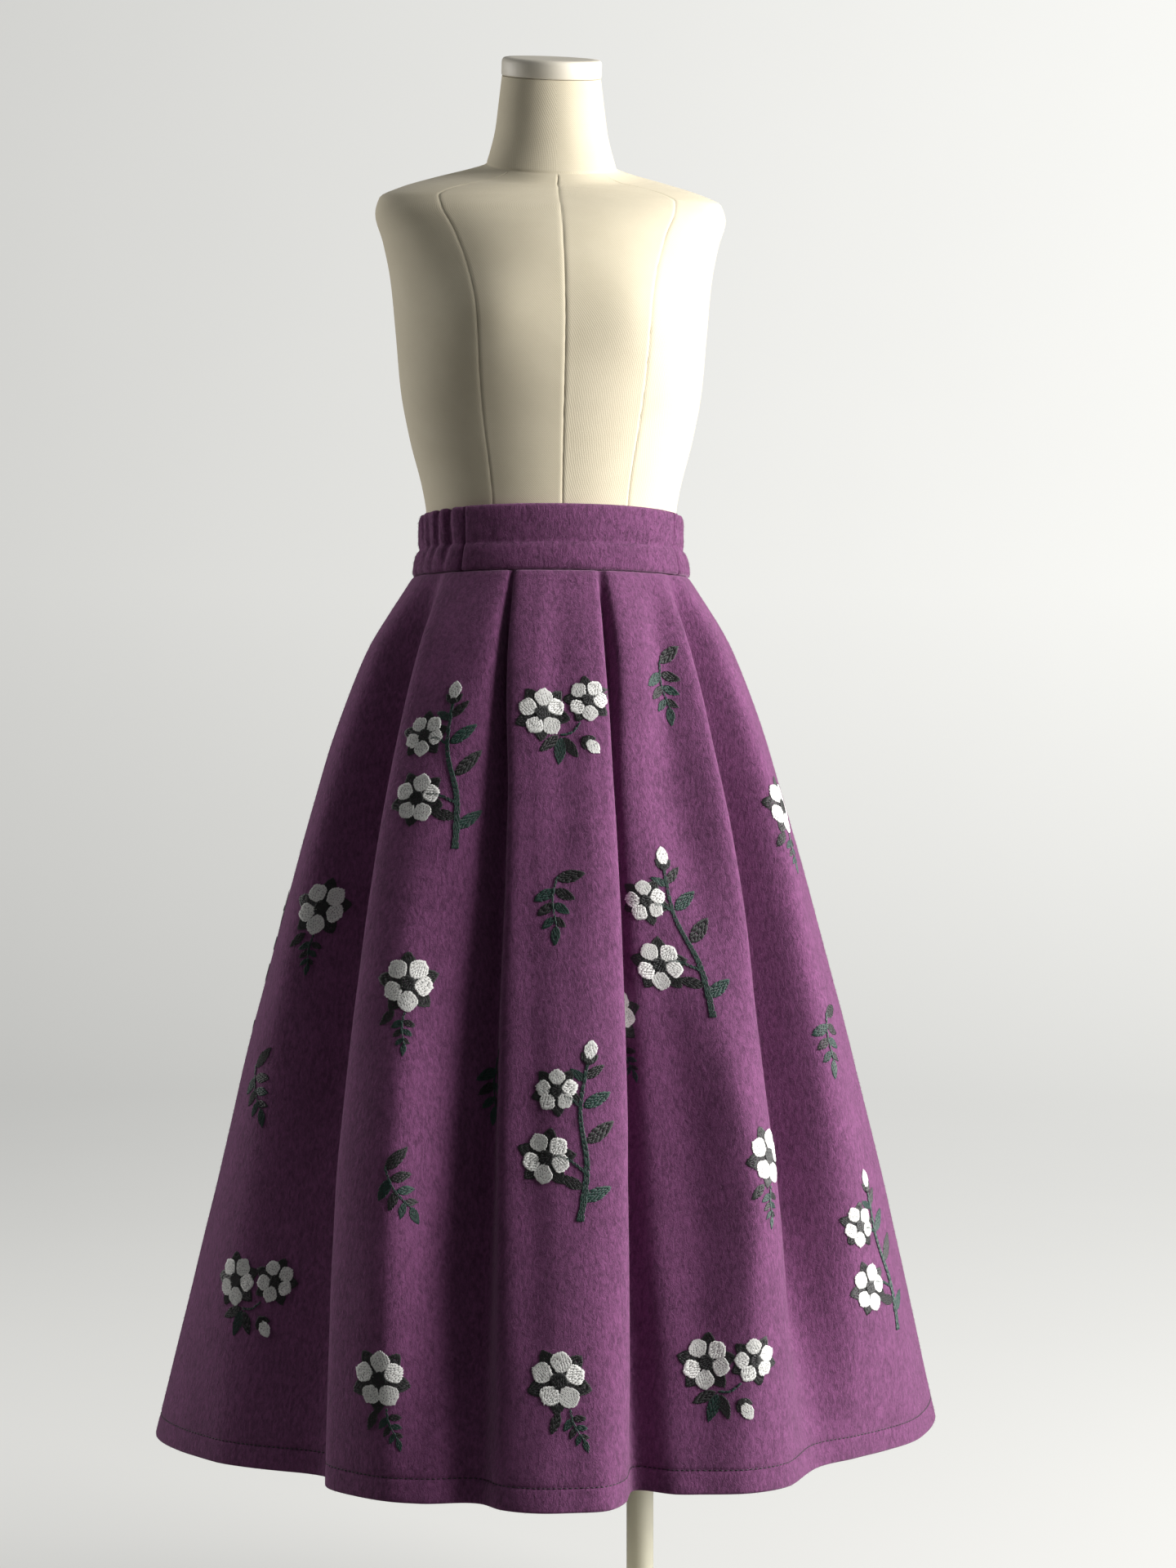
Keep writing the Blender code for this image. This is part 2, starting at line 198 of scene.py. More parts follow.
def close_up(maker, merge):
    """Joins the sides of a rolled-up grid and closes its open ends."""
    bmesh.ops.remove_doubles(maker, verts=maker.verts[:], dist=merge)
    bmesh.ops.holes_fill(maker, edges=[e for e in maker.edges if e.is_boundary], sides=0)
    bmesh.ops.recalc_face_normals(maker, faces=maker.faces[:])


def mesh_of(name, maker, material):
    """A smooth mesh of one material from a finished bmesh."""
    mesh = bpy.data.meshes.new(name)
    maker.to_mesh(mesh)
    maker.free()
    mesh.materials.append(material)
    mesh.shade_smooth()
    return mesh


def new_object(name, data):
    made = bpy.data.objects.new(name, data)
    bpy.context.scene.collection.objects.link(made)
    return made


def add_piece(name, mesh):
    """A named piece of the object from its finished mesh."""
    piece = new_object(name, mesh)
    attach(piece, "root")
    return piece


def add_solid(name, maker, material, sharp_deg):
    """A closed piece whose edges stay crisp where they are sharper than an angle."""
    mesh = mesh_of(name, maker, material)
    mesh.set_sharp_from_angle(angle=math.radians(sharp_deg))
    return add_piece(name, mesh)


def new_material(name):
    """A node material, its tree and its Principled shader."""
    material = bpy.data.materials.new(name)
    material.use_nodes = True
    tree = material.node_tree
    return material, tree, tree.nodes["Principled BSDF"]


def feed(tree, node, inputs):
    """Gives a node's inputs their plain values, or joins other nodes' sockets to them."""
    for key, term in inputs.items():
        if isinstance(term, bpy.types.NodeSocket):
            tree.links.new(term, node.inputs[key])
        else:
            node.inputs[key].default_value = term


def add_node(tree, kind, inputs=None, **settings):
    """One node with its settings, and a plain value or another node's socket for its inputs."""
    node = tree.nodes.new(kind)
    for key, value in settings.items():
        setattr(node, key, value)
    feed(tree, node, inputs or {})
    return node


def maths(tree, operation, *terms):
    """The output of one Math node. Each term is a socket or a number."""
    return add_node(tree, "ShaderNodeMath", dict(enumerate(terms)), operation=operation).outputs[0]


def weigh(tree, first, share, second, other_share):
    """The sum of two values, each times its own share."""
    terms = [maths(tree, "MULTIPLY", *pair) for pair in ((first, share), (second, other_share))]
    return maths(tree, "ADD", *terms)


def noise_in(tree, place, scale, detail, roughness=0.5, distortion=0.0):
    """A cloudy pattern of a size and fineness, from 0 to 1."""
    inputs = {
        "Vector": place, "Scale": scale, "Detail": detail,
        "Roughness": roughness, "Distortion": distortion,
    }
    return add_node(tree, "ShaderNodeTexNoise", inputs).outputs["Fac"]


def spread(tree, value, low, high):
    """The stretch of a value between low and high, as 0 to 1."""
    inputs = {"Value": value, "From Min": low, "From Max": high}
    return add_node(tree, "ShaderNodeMapRange", inputs).outputs["Result"]


def blend(tree, factor, first, second):
    """A mix of two colours, each a socket or plain red, green and blue."""
    node = add_node(tree, "ShaderNodeMix", {"Factor": factor}, data_type="RGBA")
    for key, colour in (("A", first), ("B", second)):
        feed(tree, node, {key: (*colour, 1) if isinstance(colour, tuple) else colour})
    return node.outputs["Result"]


def bump(tree, height, strength, distance):
    """The normal of a surface raised by a height."""
    inputs = {"Height": height, "Strength": strength, "Distance": distance}
    return add_node(tree, "ShaderNodeBump", inputs).outputs["Normal"]


def new_group(name, inputs, outputs):
    """A node group that takes a place and some numbers and gives numbers, with its two ends."""
    tree = bpy.data.node_groups.new(name, "ShaderNodeTree")
    tree.interface.new_socket(name="Vector", in_out="INPUT", socket_type="NodeSocketVector")
    for side, labels in (("INPUT", inputs), ("OUTPUT", outputs)):
        for label in labels:
            tree.interface.new_socket(name=label, in_out=side, socket_type="NodeSocketFloat")
    return tree, tree.nodes.new("NodeGroupInput"), tree.nodes.new("NodeGroupOutput")


def twill_weave():
    """Diagonal ribs of a woven twill, broken up as spun yarn is, with soft blotches of wear."""
    tree, given, result = new_group(
        "twill_weave", ("Ribs per metre", "Unevenness"), ("Height", "Blotches"),
    )
    place, ribs_per_metre = given.outputs["Vector"], given.outputs["Ribs per metre"]
    parts = add_node(tree, "ShaderNodeSeparateXYZ", {0: place})
    slant = maths(tree, "ADD", parts.outputs[0], maths(tree, "MULTIPLY", parts.outputs[1], 0.8))
    weft = maths(tree, "MULTIPLY", parts.outputs[1], 1.7)
    pushed = maths(tree, "MULTIPLY", noise_in(tree, place, 260.0, 3.0), given.outputs["Unevenness"])
    ribs = maths(tree, "MULTIPLY", slant, ribs_per_metre)
    ribs = maths(tree, "SINE", maths(tree, "MULTIPLY", maths(tree, "ADD", ribs, pushed), math.tau))
    picks = maths(tree, "MULTIPLY", weft, ribs_per_metre)
    picks = maths(tree, "SINE", maths(tree, "MULTIPLY", picks, math.tau))
    woven = weigh(tree, ribs, 0.34, picks, 0.12)
    spun = maths(tree, "SUBTRACT", noise_in(tree, place, 1500.0, 2.0), 0.5)
    rough = maths(tree, "MULTIPLY", spun, 0.9)
    height = maths(tree, "ADD", maths(tree, "ADD", woven, rough), 0.5)
    blotches = noise_in(tree, place, 22.0, 5.0, roughness=0.6)
    feed(tree, result, {"Height": height, "Blotches": blotches})
    return tree


def canvas_material():
    material, tree, shader = new_material("cotton_twill_cream")
    uv = add_node(tree, "ShaderNodeUVMap", uv_map="cloth").outputs["UV"]
    inputs = {"Vector": uv, "Ribs per metre": TWILL_RIBS_PER_METRE, "Unevenness": TWILL_UNEVENNESS}
    weave = add_node(tree, "ShaderNodeGroup", inputs, node_tree=twill_weave())
    tone = weigh(tree, weave.outputs["Blotches"], 0.7, weave.outputs["Height"], 0.45)
    tone = maths(tree, "SUBTRACT", tone, 0.05)
    feed(tree, shader, {
        "Base Color": blend(tree, tone, CANVAS_DARK, CANVAS_LIGHT),
        "Normal": bump(tree, weave.outputs["Height"], 0.22, 0.0004),
        "Roughness": 0.86,
        "Sheen Weight": 0.12,
    })
    return material


def gore_seams_at(height):
    """The eight seams round the form at a height, in degrees from the front."""
    heights = [row[0] for row in GORE_SEAMS]
    bust = smooth_between(heights, [row[1] for row in GORE_SEAMS], height)
    blade = smooth_between(heights, [row[2] for row in GORE_SEAMS], height)
    return (0.0, bust, 90.0, blade, 180.0, 360 - blade, 270.0, 360 - bust, 360.0)


def gore_layout():
    """Where each column of the form's mesh lies: its gore, its share of it, and seam depth."""
    layout = []
    for gore in range(8):
        near = [(gore, share, depth) for share, depth in SEAM_PROFILE]
        first, last = SEAM_PROFILE[-1][0], 1 - SEAM_PROFILE[-1][0]
        span = [(gore, first + (last - first) * n / GORE_STEPS, 0.0) for n in range(1, GORE_STEPS)]
        far = [(gore, 1 - share, depth) for _, share, depth in reversed(near[1:])]
        layout += near + span + far
    return layout + [(7, 1.0, 1.0)]


def torso_heights():
    """Rows up the form, closer together where its section changes fast and at the neck seam."""
    heights = []
    for lower, upper in zip(TORSO, TORSO[1:]):
        span = upper[0] - lower[0] + abs(upper[1] - lower[1]) * 0.7
        steps = max(2, round(span / ROW_SPAN))
        heights += [lower[0] + (upper[0] - lower[0]) * n / steps for n in range(steps)]
    heights.append(TORSO[-1][0])
    heights = [h for h in heights if abs(h - NECK_SEAM_Z) > 0.0025]
    heights += [NECK_SEAM_Z + offset for offset in NECK_SEAM_ROWS]
    return sorted(heights)


FORM_COLUMNS = gore_layout()
FORM_HEIGHTS = torso_heights()
FORM_SECTIONS = [torso_section(height) for height in FORM_HEIGHTS]
FORM_SEAMS = [gore_seams_at(height) for height in FORM_HEIGHTS]


def form_vertex(column, row):
    gore, share, depth = FORM_COLUMNS[column]
    height, seams = FORM_HEIGHTS[row], FORM_SEAMS[row]
    angle = math.radians(seams[gore] + (seams[gore + 1] - seams[gore]) * share)
    seam = gore + (1 if share > 0.5 else 0)
    if height > NECK_SEAM_Z and seam % 8 != 4:
        depth = 0.0
    pucker = 0.75 + 0.5 * noise.noise(Vector((3.1 * seam, 0.0, height * 160)))
    inset = SEAM_DEPTH * depth * pucker
    ring = abs(height - NECK_SEAM_Z) / NECK_SEAM_WIDTH
    if ring < 1:
        inset = max(inset, SEAM_DEPTH * 1.1 * (1 - ring) ** 0.7)
    return torso_point(height, angle, -inset, FORM_SECTIONS[row])


canvas = canvas_material()
maker = mapped_grid(len(FORM_COLUMNS) - 1, len(FORM_HEIGHTS) - 1, form_vertex)
close_up(maker, 0.00002)
form = add_solid("form_body", maker, canvas, 60)
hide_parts("form_torso")


# The neck's cap: a shallow turned disc, lacquered smooth in cream, pressed into the neck's
# top at the neck's own tilt, with a fine dark line where it meets the cover.
CAP_HALF_WIDTH = 0.0464
CAP_PROFILE = (
    # share of the half width, height above the neck
    (0.0, 0.0003), (0.955, 0.0003), (0.985, 0.0007), (1.0, 0.0019), (1.0, 0.0125),
    (0.993, 0.0146), (0.975, 0.0161), (0.945, 0.0169), (0.80, 0.0172), (0.40, 0.0173), (0.0, 0.0173),
)
LACQUER_CREAM = (0.800, 0.752, 0.640)
TURNED_STEPS = 72
WEAR_SCALE = 34.0


def turned(profile, matrix, steps=TURNED_STEPS):
    """A round form from a profile of (radius, height), spun about its upright axis."""
    maker = bmesh.new()
    points = [maker.verts.new((radius, 0, height)) for radius, height in profile]
    for lower, upper in zip(points, points[1:]):
        maker.edges.new((lower, upper))
    bmesh.ops.spin(
        maker, geom=maker.verts[:] + maker.edges[:], cent=(0, 0, 0), axis=(0, 0, 1),
        angle=math.tau, steps=steps, use_merge=True, use_duplicate=False,
    )
    bmesh.ops.remove_doubles(maker, verts=maker.verts[:], dist=0.00001)
    bmesh.ops.recalc_face_normals(maker, faces=maker.faces[:])
    bmesh.ops.transform(maker, matrix=matrix, verts=maker.verts[:])
    return maker


def surface_wear():
    """Faint handling marks on a painted or lacquered face: cloudy patches and fine scuffs."""
    tree, given, result = new_group("surface_wear", ("Scale",), ("Clouds", "Scuffs"))
    place, scale = given.outputs["Vector"], given.outputs["Scale"]
    stretched = add_node(tree, "ShaderNodeMapping", {"Vector": place, "Scale": (9.0, 9.0, 1.0)})
    feed(tree, result, {
        "Clouds": noise_in(tree, place, scale, 6.0, roughness=0.62),
        "Scuffs": noise_in(tree, stretched.outputs["Vector"], scale, 8.0, roughness=0.75),
    })
    return tree


WEAR = surface_wear()


def on_object(tree):
    """The socket with each point's own place on the object, in metres."""
    return add_node(tree, "ShaderNodeTexCoord").outputs["Object"]


def wear_over(tree, scale):
    inputs = {"Vector": on_object(tree), "Scale": scale}
    return add_node(tree, "ShaderNodeGroup", inputs, node_tree=WEAR)


def shaded(colour, share):
    return tuple(channel * share for channel in colour)


def smooth_finish(name, colour, darker, roughness, bump_depth):
    """Paint or lacquer over a hard part, in slightly uneven coats."""
    material, tree, shader = new_material(name)
    wear = wear_over(tree, WEAR_SCALE)
    rough = maths(tree, "MULTIPLY", wear.outputs["Scuffs"], 0.22)
    feed(tree, shader, {
        "Base Color": blend(tree, wear.outputs["Clouds"], shaded(colour, darker), colour),
        "Roughness": maths(tree, "ADD", rough, roughness - 0.11),
        "Normal": bump(tree, wear.outputs["Scuffs"], 0.25, bump_depth),
    })
    return material


lacquer = smooth_finish("cap_lacquer", LACQUER_CREAM, 0.93, 0.46, 0.0003)
cap_height, _, cap_front, cap_back, cap_tilt = TORSO[-1]
place = Matrix.Translation((0, (cap_back - cap_front) / 2, cap_height))
place = place @ Matrix.Rotation(math.radians(cap_tilt), 4, "X")
profile = [(share * CAP_HALF_WIDTH, height) for share, height in CAP_PROFILE]
cap = add_solid("form_neck_cap", turned(profile, place), lacquer, 50)
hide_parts("neck_cap")


# The stand: a painted steel pole under a flange screwed into the form's base. It stands
# off-centre in a turned socket on a round steel plate, and each part has softened edges.
POLE_X = 0.083
STAND_CREAM = (0.820, 0.790, 0.640)
FLANGE_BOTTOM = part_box("form_flange")[0].z
POLE_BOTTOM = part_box("stand_pole")[0].z
POLE_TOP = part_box("stand_pole")[1].z
SOCKET_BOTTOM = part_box("base_socket")[0].z
PLATE_PROFILE = (
    (0.0, 0.0), (0.1885, 0.0), (0.1896, 0.0005), (0.190, 0.0015), (0.190, 0.0058),
    (0.1893, 0.0072), (0.1878, 0.0080), (0.12, 0.0080), (0.0, 0.0080),
)
SOCKET_PROFILE = (
    (0.0, 0.0), (0.0246, 0.0), (0.0250, 0.0006), (0.0246, 0.0040), (0.0232, 0.0062),
    (0.0214, 0.0110), (0.0204, 0.0190), (0.0200, 0.0262), (0.0190, 0.0285), (0.0172, 0.0298),
    (0.0160, 0.0300), (0.0, 0.0300),
)
FLANGE_PROFILE = (
    (0.0, 0.0), (0.0180, 0.0), (0.0195, 0.0006), (0.0225, 0.0058), (0.0252, 0.0094),
    (0.0260, 0.0108), (0.0260, 0.0150), (0.0255, 0.0158), (0.0245, 0.0160), (0.0, 0.0160),
)
POLE_PROFILE = (
    (0.0, 0.0), (0.0118, 0.0), (0.0125, 0.0007), (0.0125, 0.2), (0.0125, 0.4),
    (0.0125, POLE_TOP - POLE_BOTTOM - 0.0007), (0.0118, POLE_TOP - POLE_BOTTOM),
    (0.0, POLE_TOP - POLE_BOTTOM),
)
paint = smooth_finish("stand_enamel", STAND_CREAM, 0.90, 0.42, 0.0004)
for name, node, profile, x, z in (
    ("stand_plate", "base_plate", PLATE_PROFILE, 0.0, 0.0),
    ("stand_socket", "base_socket", SOCKET_PROFILE, POLE_X, SOCKET_BOTTOM),
    ("stand_flange", "form_flange", FLANGE_PROFILE, POLE_X, FLANGE_BOTTOM),
    ("stand_post", "stand_pole", POLE_PROFILE, POLE_X, POLE_BOTTOM),
):
    solid = turned(profile, Matrix.Translation((x, 0, z)))
    stand_part = add_solid(name, solid, paint, 50)
    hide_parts(node)


# The skirt's front and back: two wide panels of brushed wool, nearly 3 mm thick, laid in deep
# soft pleats under the band and sewn to each other down the sides. The hem is turned up once
# inside and stitched through, which leaves a fine groove all round.
HEM_Z = 0.226
SEAM_Z = 1.011
WOOL = 0.0028
HEM_ALLOWANCE = 0.022
HEM_RADIUS = 0.0028
HEM_STITCH_Z = 0.2458
HEM_GROOVE = (
    # height from the stitches, depth
    (-0.0030, 0.0), (-0.0012, 0.0004), (0.0, 0.0011), (0.0012, 0.0004), (0.0030, 0.0),
)
GAP = 0.0003
OUTLINE = {
    "height": (SEAM_Z - GAP, 0.940, 0.800, 0.520, HEM_Z),
    "half_width": (0.1285, 0.171, 0.220, 0.292, 0.363),
    "half_depth": (0.1040, 0.137, 0.175, 0.240, 0.312),
}
FRONT_FOLDS = (
    # name, angles, reaches
    ("panel_1", (-72, -74, -73, -74, -68), (1.00, 1.00, 1.00, 0.97, 0.91)),
    ("valley_1", (-58, -56, -53, -50, -47), (0.98, 0.85, 0.80, 0.79, 0.80)),
    ("panel_2_left", (-52, -49, -47, -44, -42), (1.00, 1.00, 1.00, 0.98, 0.88)),
    ("panel_2", (-36, -36, -37, -31, -30), (1.00, 1.00, 1.02, 1.04, 0.93)),
    ("panel_2_right", (-23, -23, -24, -24, -24), (1.00, 0.98, 0.94, 0.89, 0.93)),
    ("valley_2", (-21, -20, -17, -17, -16), (0.97, 0.86, 0.83, 0.82, 0.90)),
    ("panel_3_left", (-19, -18, -15, -14, -12), (1.00, 0.98, 0.97, 0.96, 0.96)),
    ("panel_3_west", (-10, -10, -9, -8, -7), (1.00, 1.00, 0.99, 0.98, 0.99)),
    ("crease", (-2, -3, -3, -4, -3), (0.99, 0.98, 0.99, 1.00, 0.99)),
    ("panel_3_east", (7, 6, 5, 3, 2), (1.00, 1.00, 1.01, 1.00, 0.98)),
    ("panel_3_right", (13, 11, 10, 8, 5), (1.00, 0.99, 0.98, 0.96, 0.92)),
    ("valley_3", (15, 13, 11, 10, 9), (0.97, 0.85, 0.80, 0.75, 0.79)),
    ("panel_4_left", (18, 16, 13, 15, 14), (1.00, 0.97, 0.91, 0.83, 0.86)),
    ("panel_4_west", (28, 23, 18, 22, 18), (1.00, 0.98, 0.93, 0.88, 0.89)),
    ("panel_4_middle", (38, 32, 28, 30, 24), (0.99, 0.94, 0.92, 1.01, 0.93)),
    ("panel_4_east", (47, 41, 38, 38, 31), (1.00, 1.01, 1.03, 0.96, 0.93)),
    ("valley_4", (53, 50, 47, 46, 45), (0.98, 0.82, 0.75, 0.77, 0.84)),
    ("panel_5", (61, 60, 58, 55, 55), (1.00, 1.00, 1.02, 1.00, 0.87)),
    ("panel_5_side", (74, 72, 70, 67, 70), (1.00, 1.00, 1.00, 1.01, 0.95)),
)
BACK_FOLD_COUNT = 7
BACK_VALLEY_DEPTH = (0.015, 0.085, 0.135, 0.125, 0.075)
BACK_SWING_DEG = 3.0
CORNER_CUT = (0.0, 0.0, 0.01, 0.04, 0.09)
SIDE_SEAM = (
    # columns from the seam, inset
    (0.0015, 0.0020), (0.010, 0.0009), (0.028, 0.0002),
)
SAMPLES = 12
RING_STEP = 0.0025
PANEL_ROWS = 84
FRONT_KNOTS = len(FRONT_FOLDS) + 1
ALL_KNOTS = FRONT_KNOTS + 2 * BACK_FOLD_COUNT
FLEECE_DARK = (0.100, 0.034, 0.085)
FLEECE_PLUM = (0.205, 0.068, 0.172)
FLEECE_PINK = (0.430, 0.205, 0.368)


def at_height(values, height):
    return smooth_between(OUTLINE["height"], values, height)


def fold_points(height):
    """The crests, edges and valleys of the cloth round one height, as (angle, reach)."""
    points = [(-90.0, 1.0)]
    for _, angles, reaches in FRONT_FOLDS:
        points.append((at_height(angles, height), at_height(reaches, height)))
    points.append((90.0, 1.0))
    depth = at_height(BACK_VALLEY_DEPTH, height)
    cut = at_height(CORNER_CUT, height)
    spacing = 180.0 / BACK_FOLD_COUNT
    for half_step in range(1, 2 * BACK_FOLD_COUNT):
        angle = 90.0 + half_step * spacing / 2
        angle += BACK_SWING_DEG * math.sin(2.1 * half_step + 1.0)
        reach = 1.0 - cut * abs(math.sin(math.radians(2 * angle)))
        if half_step % 2 == 0:
            reach -= depth * (1.0 + 0.3 * math.sin(1.7 * half_step + 0.4))
        points.append((angle, reach))
    return points


def unevenness(point, height):
    """Low swells and dents that heavy cloth keeps between its folds, in metres outwards."""
    loose = min(1.0, (SEAM_Z - height) / 0.12)
    broad = noise.noise(Vector((point.x * 11, point.y * 11, height * 4.5)))
    small = noise.noise(Vector((point.x * 34 + 7, point.y * 34, height * 13)))
    return loose * (0.0022 * broad + 0.0007 * small)


def cloth_ring(height):
    """The closed line round the cloth's outer face at one height."""
    half_width = at_height(OUTLINE["half_width"], height)
    half_depth = at_height(OUTLINE["half_depth"], height)
    knots = [
        Vector((
            half_width * reach * math.sin(math.radians(angle)),
            -half_depth * reach * math.cos(math.radians(angle)),
        ))
        for angle, reach in fold_points(height)
    ]
    line = []
    for place in range(ALL_KNOTS):
        before, start, end, after = (knots[(place + k) % ALL_KNOTS] for k in (-1, 0, 1, 2))
        spans = [math.sqrt((b - a).length) for a, b in ((before, start), (start, end), (end, after))]
        leave = (start - before) / spans[0] - (end - before) / (spans[0] + spans[1])
        leave += (end - start) / spans[1]
        arrive = (end - start) / spans[1] - (after - start) / (spans[1] + spans[2])
        arrive += (after - end) / spans[2]
        leave *= spans[1]
        arrive *= spans[1]
        line += [cubic(start, leave, end, arrive, step / SAMPLES) for step in range(SAMPLES)]
    outward = []
    for place, _ in enumerate(line):
        along = line[(place + 1) % len(line)] - line[place - 1]
        outward.append(Vector((along.y, -along.x)).normalized())
    return [p + n * unevenness(p, height) for p, n in zip(line, outward)]


TOP_Z = OUTLINE["height"][0]
RING_COUNT = math.ceil((TOP_Z - HEM_Z) / RING_STEP) + 1
RINGS = [cloth_ring(TOP_Z + (HEM_Z - TOP_Z) * n / (RING_COUNT - 1)) for n in range(RING_COUNT)]


def on_ring(ring, column):
    """The point of one stored line at a column, where a column counts the fold points."""
    place = (column % ALL_KNOTS) * SAMPLES
    whole = int(place)
    part = place - whole
    return ring[whole % len(ring)] * (1 - part) + ring[(whole + 1) % len(ring)] * part


def on_cloth(column, height):
    """The point of the cloth's outer face at a column and a height."""
    depth = (TOP_Z - min(max(height, HEM_Z), TOP_Z)) / (TOP_Z - HEM_Z) * (RING_COUNT - 1)
    whole = min(int(depth), RING_COUNT - 2)
    part = depth - whole
    point = on_ring(RINGS[whole], column) * (1 - part) + on_ring(RINGS[whole + 1], column) * part
    return Vector((*point, height))


def cloth_directions(column, height):
    """The cloth's directions along the ring, up the skirt, and outwards."""
    low, high = max(height - 0.003, HEM_Z), min(height + 0.003, TOP_Z)
    along = on_cloth(column + 0.05, height) - on_cloth(column - 0.05, height)
    upwards = on_cloth(column, high) - on_cloth(column, low)
    outward = along.cross(upwards).normalized()
    return along.normalized(), upwards.normalized(), outward


def cloth_rows():
    """Rows of a panel as (height, inset): up inside the hem, round its edge, and up outside."""
    rows = [(HEM_Z + HEM_ALLOWANCE - step, 2 * HEM_RADIUS) for step in (0, 0.007, 0.014)]
    for turn in (180, 150, 120, 90, 60, 30, 0):
        angle = math.radians(turn)
        rise = HEM_RADIUS * (1 - math.sin(angle))
        rows.append((HEM_Z + rise, HEM_RADIUS * (1 - math.cos(angle))))
    rows += [(HEM_Z + 0.008, 0.0), (HEM_Z + 0.014, 0.0)]
    rows += [(HEM_STITCH_Z + offset, inset) for offset, inset in HEM_GROOVE]
    start, end = HEM_STITCH_Z + 0.010, TOP_Z - 0.016
    rows += [(start + (end - start) * n / PANEL_ROWS, 0.0) for n in range(PANEL_ROWS + 1)]
    rows += [(TOP_Z - 0.010, 0.0), (TOP_Z - 0.005, 0.0001), (TOP_Z - 0.0016, 0.0003)]
    rows += [(TOP_Z - 0.0003, 0.0010), (TOP_Z, 0.0028)]
    return rows


def cloth_columns(first, last):
    """Columns of a panel with the inset that draws its edges into the side seams."""
    columns = [first + n / SAMPLES for n in range(1, (last - first) * SAMPLES)]
    starts = [(first + offset, inset) for offset, inset in SIDE_SEAM]
    ends = [(last - offset, inset) for offset, inset in reversed(SIDE_SEAM)]
    return starts + [(column, 0.0) for column in columns] + ends


CLOTH_ROWS = cloth_rows()


def cloth_panel(name, first, last, material):
    columns = cloth_columns(first, last)

    def place(number, row):
        column, seam = columns[number]
        height, inset = CLOTH_ROWS[row]
        point = on_cloth(column, height)
        along = on_cloth(column + 0.04, height) - on_cloth(column - 0.04, height)
        outward = Vector((along.y, -along.x, 0)).normalized()
        return point - outward * (inset + seam)

    maker = mapped_grid(len(columns) - 1, len(CLOTH_ROWS) - 1, place)
    panel = add_piece(name, mesh_of(name, maker, material))
    thickness = panel.modifiers.new("wool", "SOLIDIFY")
    thickness.thickness = WOOL
    thickness.offset = -1
    thickness.use_rim = True
    return panel


def brushed_wool():
    """Matted, brushed wool: tufts a few millimetres long, fine fibres, and odd light hairs."""
    tree, given, result = new_group("brushed_wool", (), ("Heather", "Hairs", "Specks", "Height"))
    place = given.outputs["Vector"]
    combed = add_node(
        tree, "ShaderNodeMapping",
        {"Vector": place, "Scale": (1.0, 1.0, 0.45), "Rotation": (0.0, 0.35, 0.0)},
    ).outputs["Vector"]
    tufts = noise_in(tree, combed, 340.0, 4.0, roughness=0.68, distortion=0.5)
    fibres = noise_in(tree, combed, 1500.0, 3.0, roughness=0.7)
    clouds = noise_in(tree, place, 38.0, 4.0, roughness=0.55)
    specks = noise_in(tree, place, 900.0, 2.0)
    feed(tree, result, {
        "Heather": spread(tree, weigh(tree, tufts, 0.80, clouds, 0.20), 0.37, 0.63),
        "Hairs": spread(tree, fibres, 0.60, 0.78),
        "Specks": spread(tree, specks, 0.66, 0.74),
        "Height": weigh(tree, tufts, 0.75, fibres, 0.35),
    })
    return tree


WOOL_SURFACE = brushed_wool()


def fleece_material(name, plum, dark, pink):
    material, tree, shader = new_material(name)
    wool = add_node(
        tree, "ShaderNodeGroup", {"Vector": on_object(tree)}, node_tree=WOOL_SURFACE,
    )
    base = blend(tree, wool.outputs["Heather"], dark, plum)
    lit = blend(tree, maths(tree, "MULTIPLY", wool.outputs["Hairs"], 0.55), base, pink)
    specks = maths(tree, "MULTIPLY", wool.outputs["Specks"], 0.6)
    feed(tree, shader, {
        "Base Color": blend(tree, specks, lit, shaded(dark, 0.35)),
        "Normal": bump(tree, wool.outputs["Height"], 0.85, 0.0015),
        "Roughness": 0.96,
        "Specular IOR Level": 0.15,
        "Sheen Weight": 0.45,
        "Sheen Roughness": 0.45,
        "Sheen Tint": (0.92, 0.58, 0.84, 1),
    })
    return material


fleece = fleece_material("brushed_fleece_plum", FLEECE_PLUM, FLEECE_DARK, FLEECE_PINK)
skirt_front = cloth_panel("skirt_front_cloth", 0, FRONT_KNOTS, fleece)
skirt_back = cloth_panel("skirt_back_cloth", FRONT_KNOTS, ALL_KNOTS, fleece)
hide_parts("skirt_front")
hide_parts("skirt_back")


# The hem's stitching: one row of long plum thread stitches, pulled down into the groove
# that they make, about two centimetres above the edge.
STITCH_LENGTH = 0.0034
STITCH_PITCH = 0.0044
STITCH_THICKNESS = 0.0008
STITCH_WIDENING = 1.3
STITCH_SINK = 0.0008
STITCH_DRIFT = 0.0002
# Far darker than the wool: the thread's own plum together with painted shade of the groove it lies
# in.
HEM_THREAD_WITH_GROOVE_SHADE = (0.018, 0.006, 0.016)


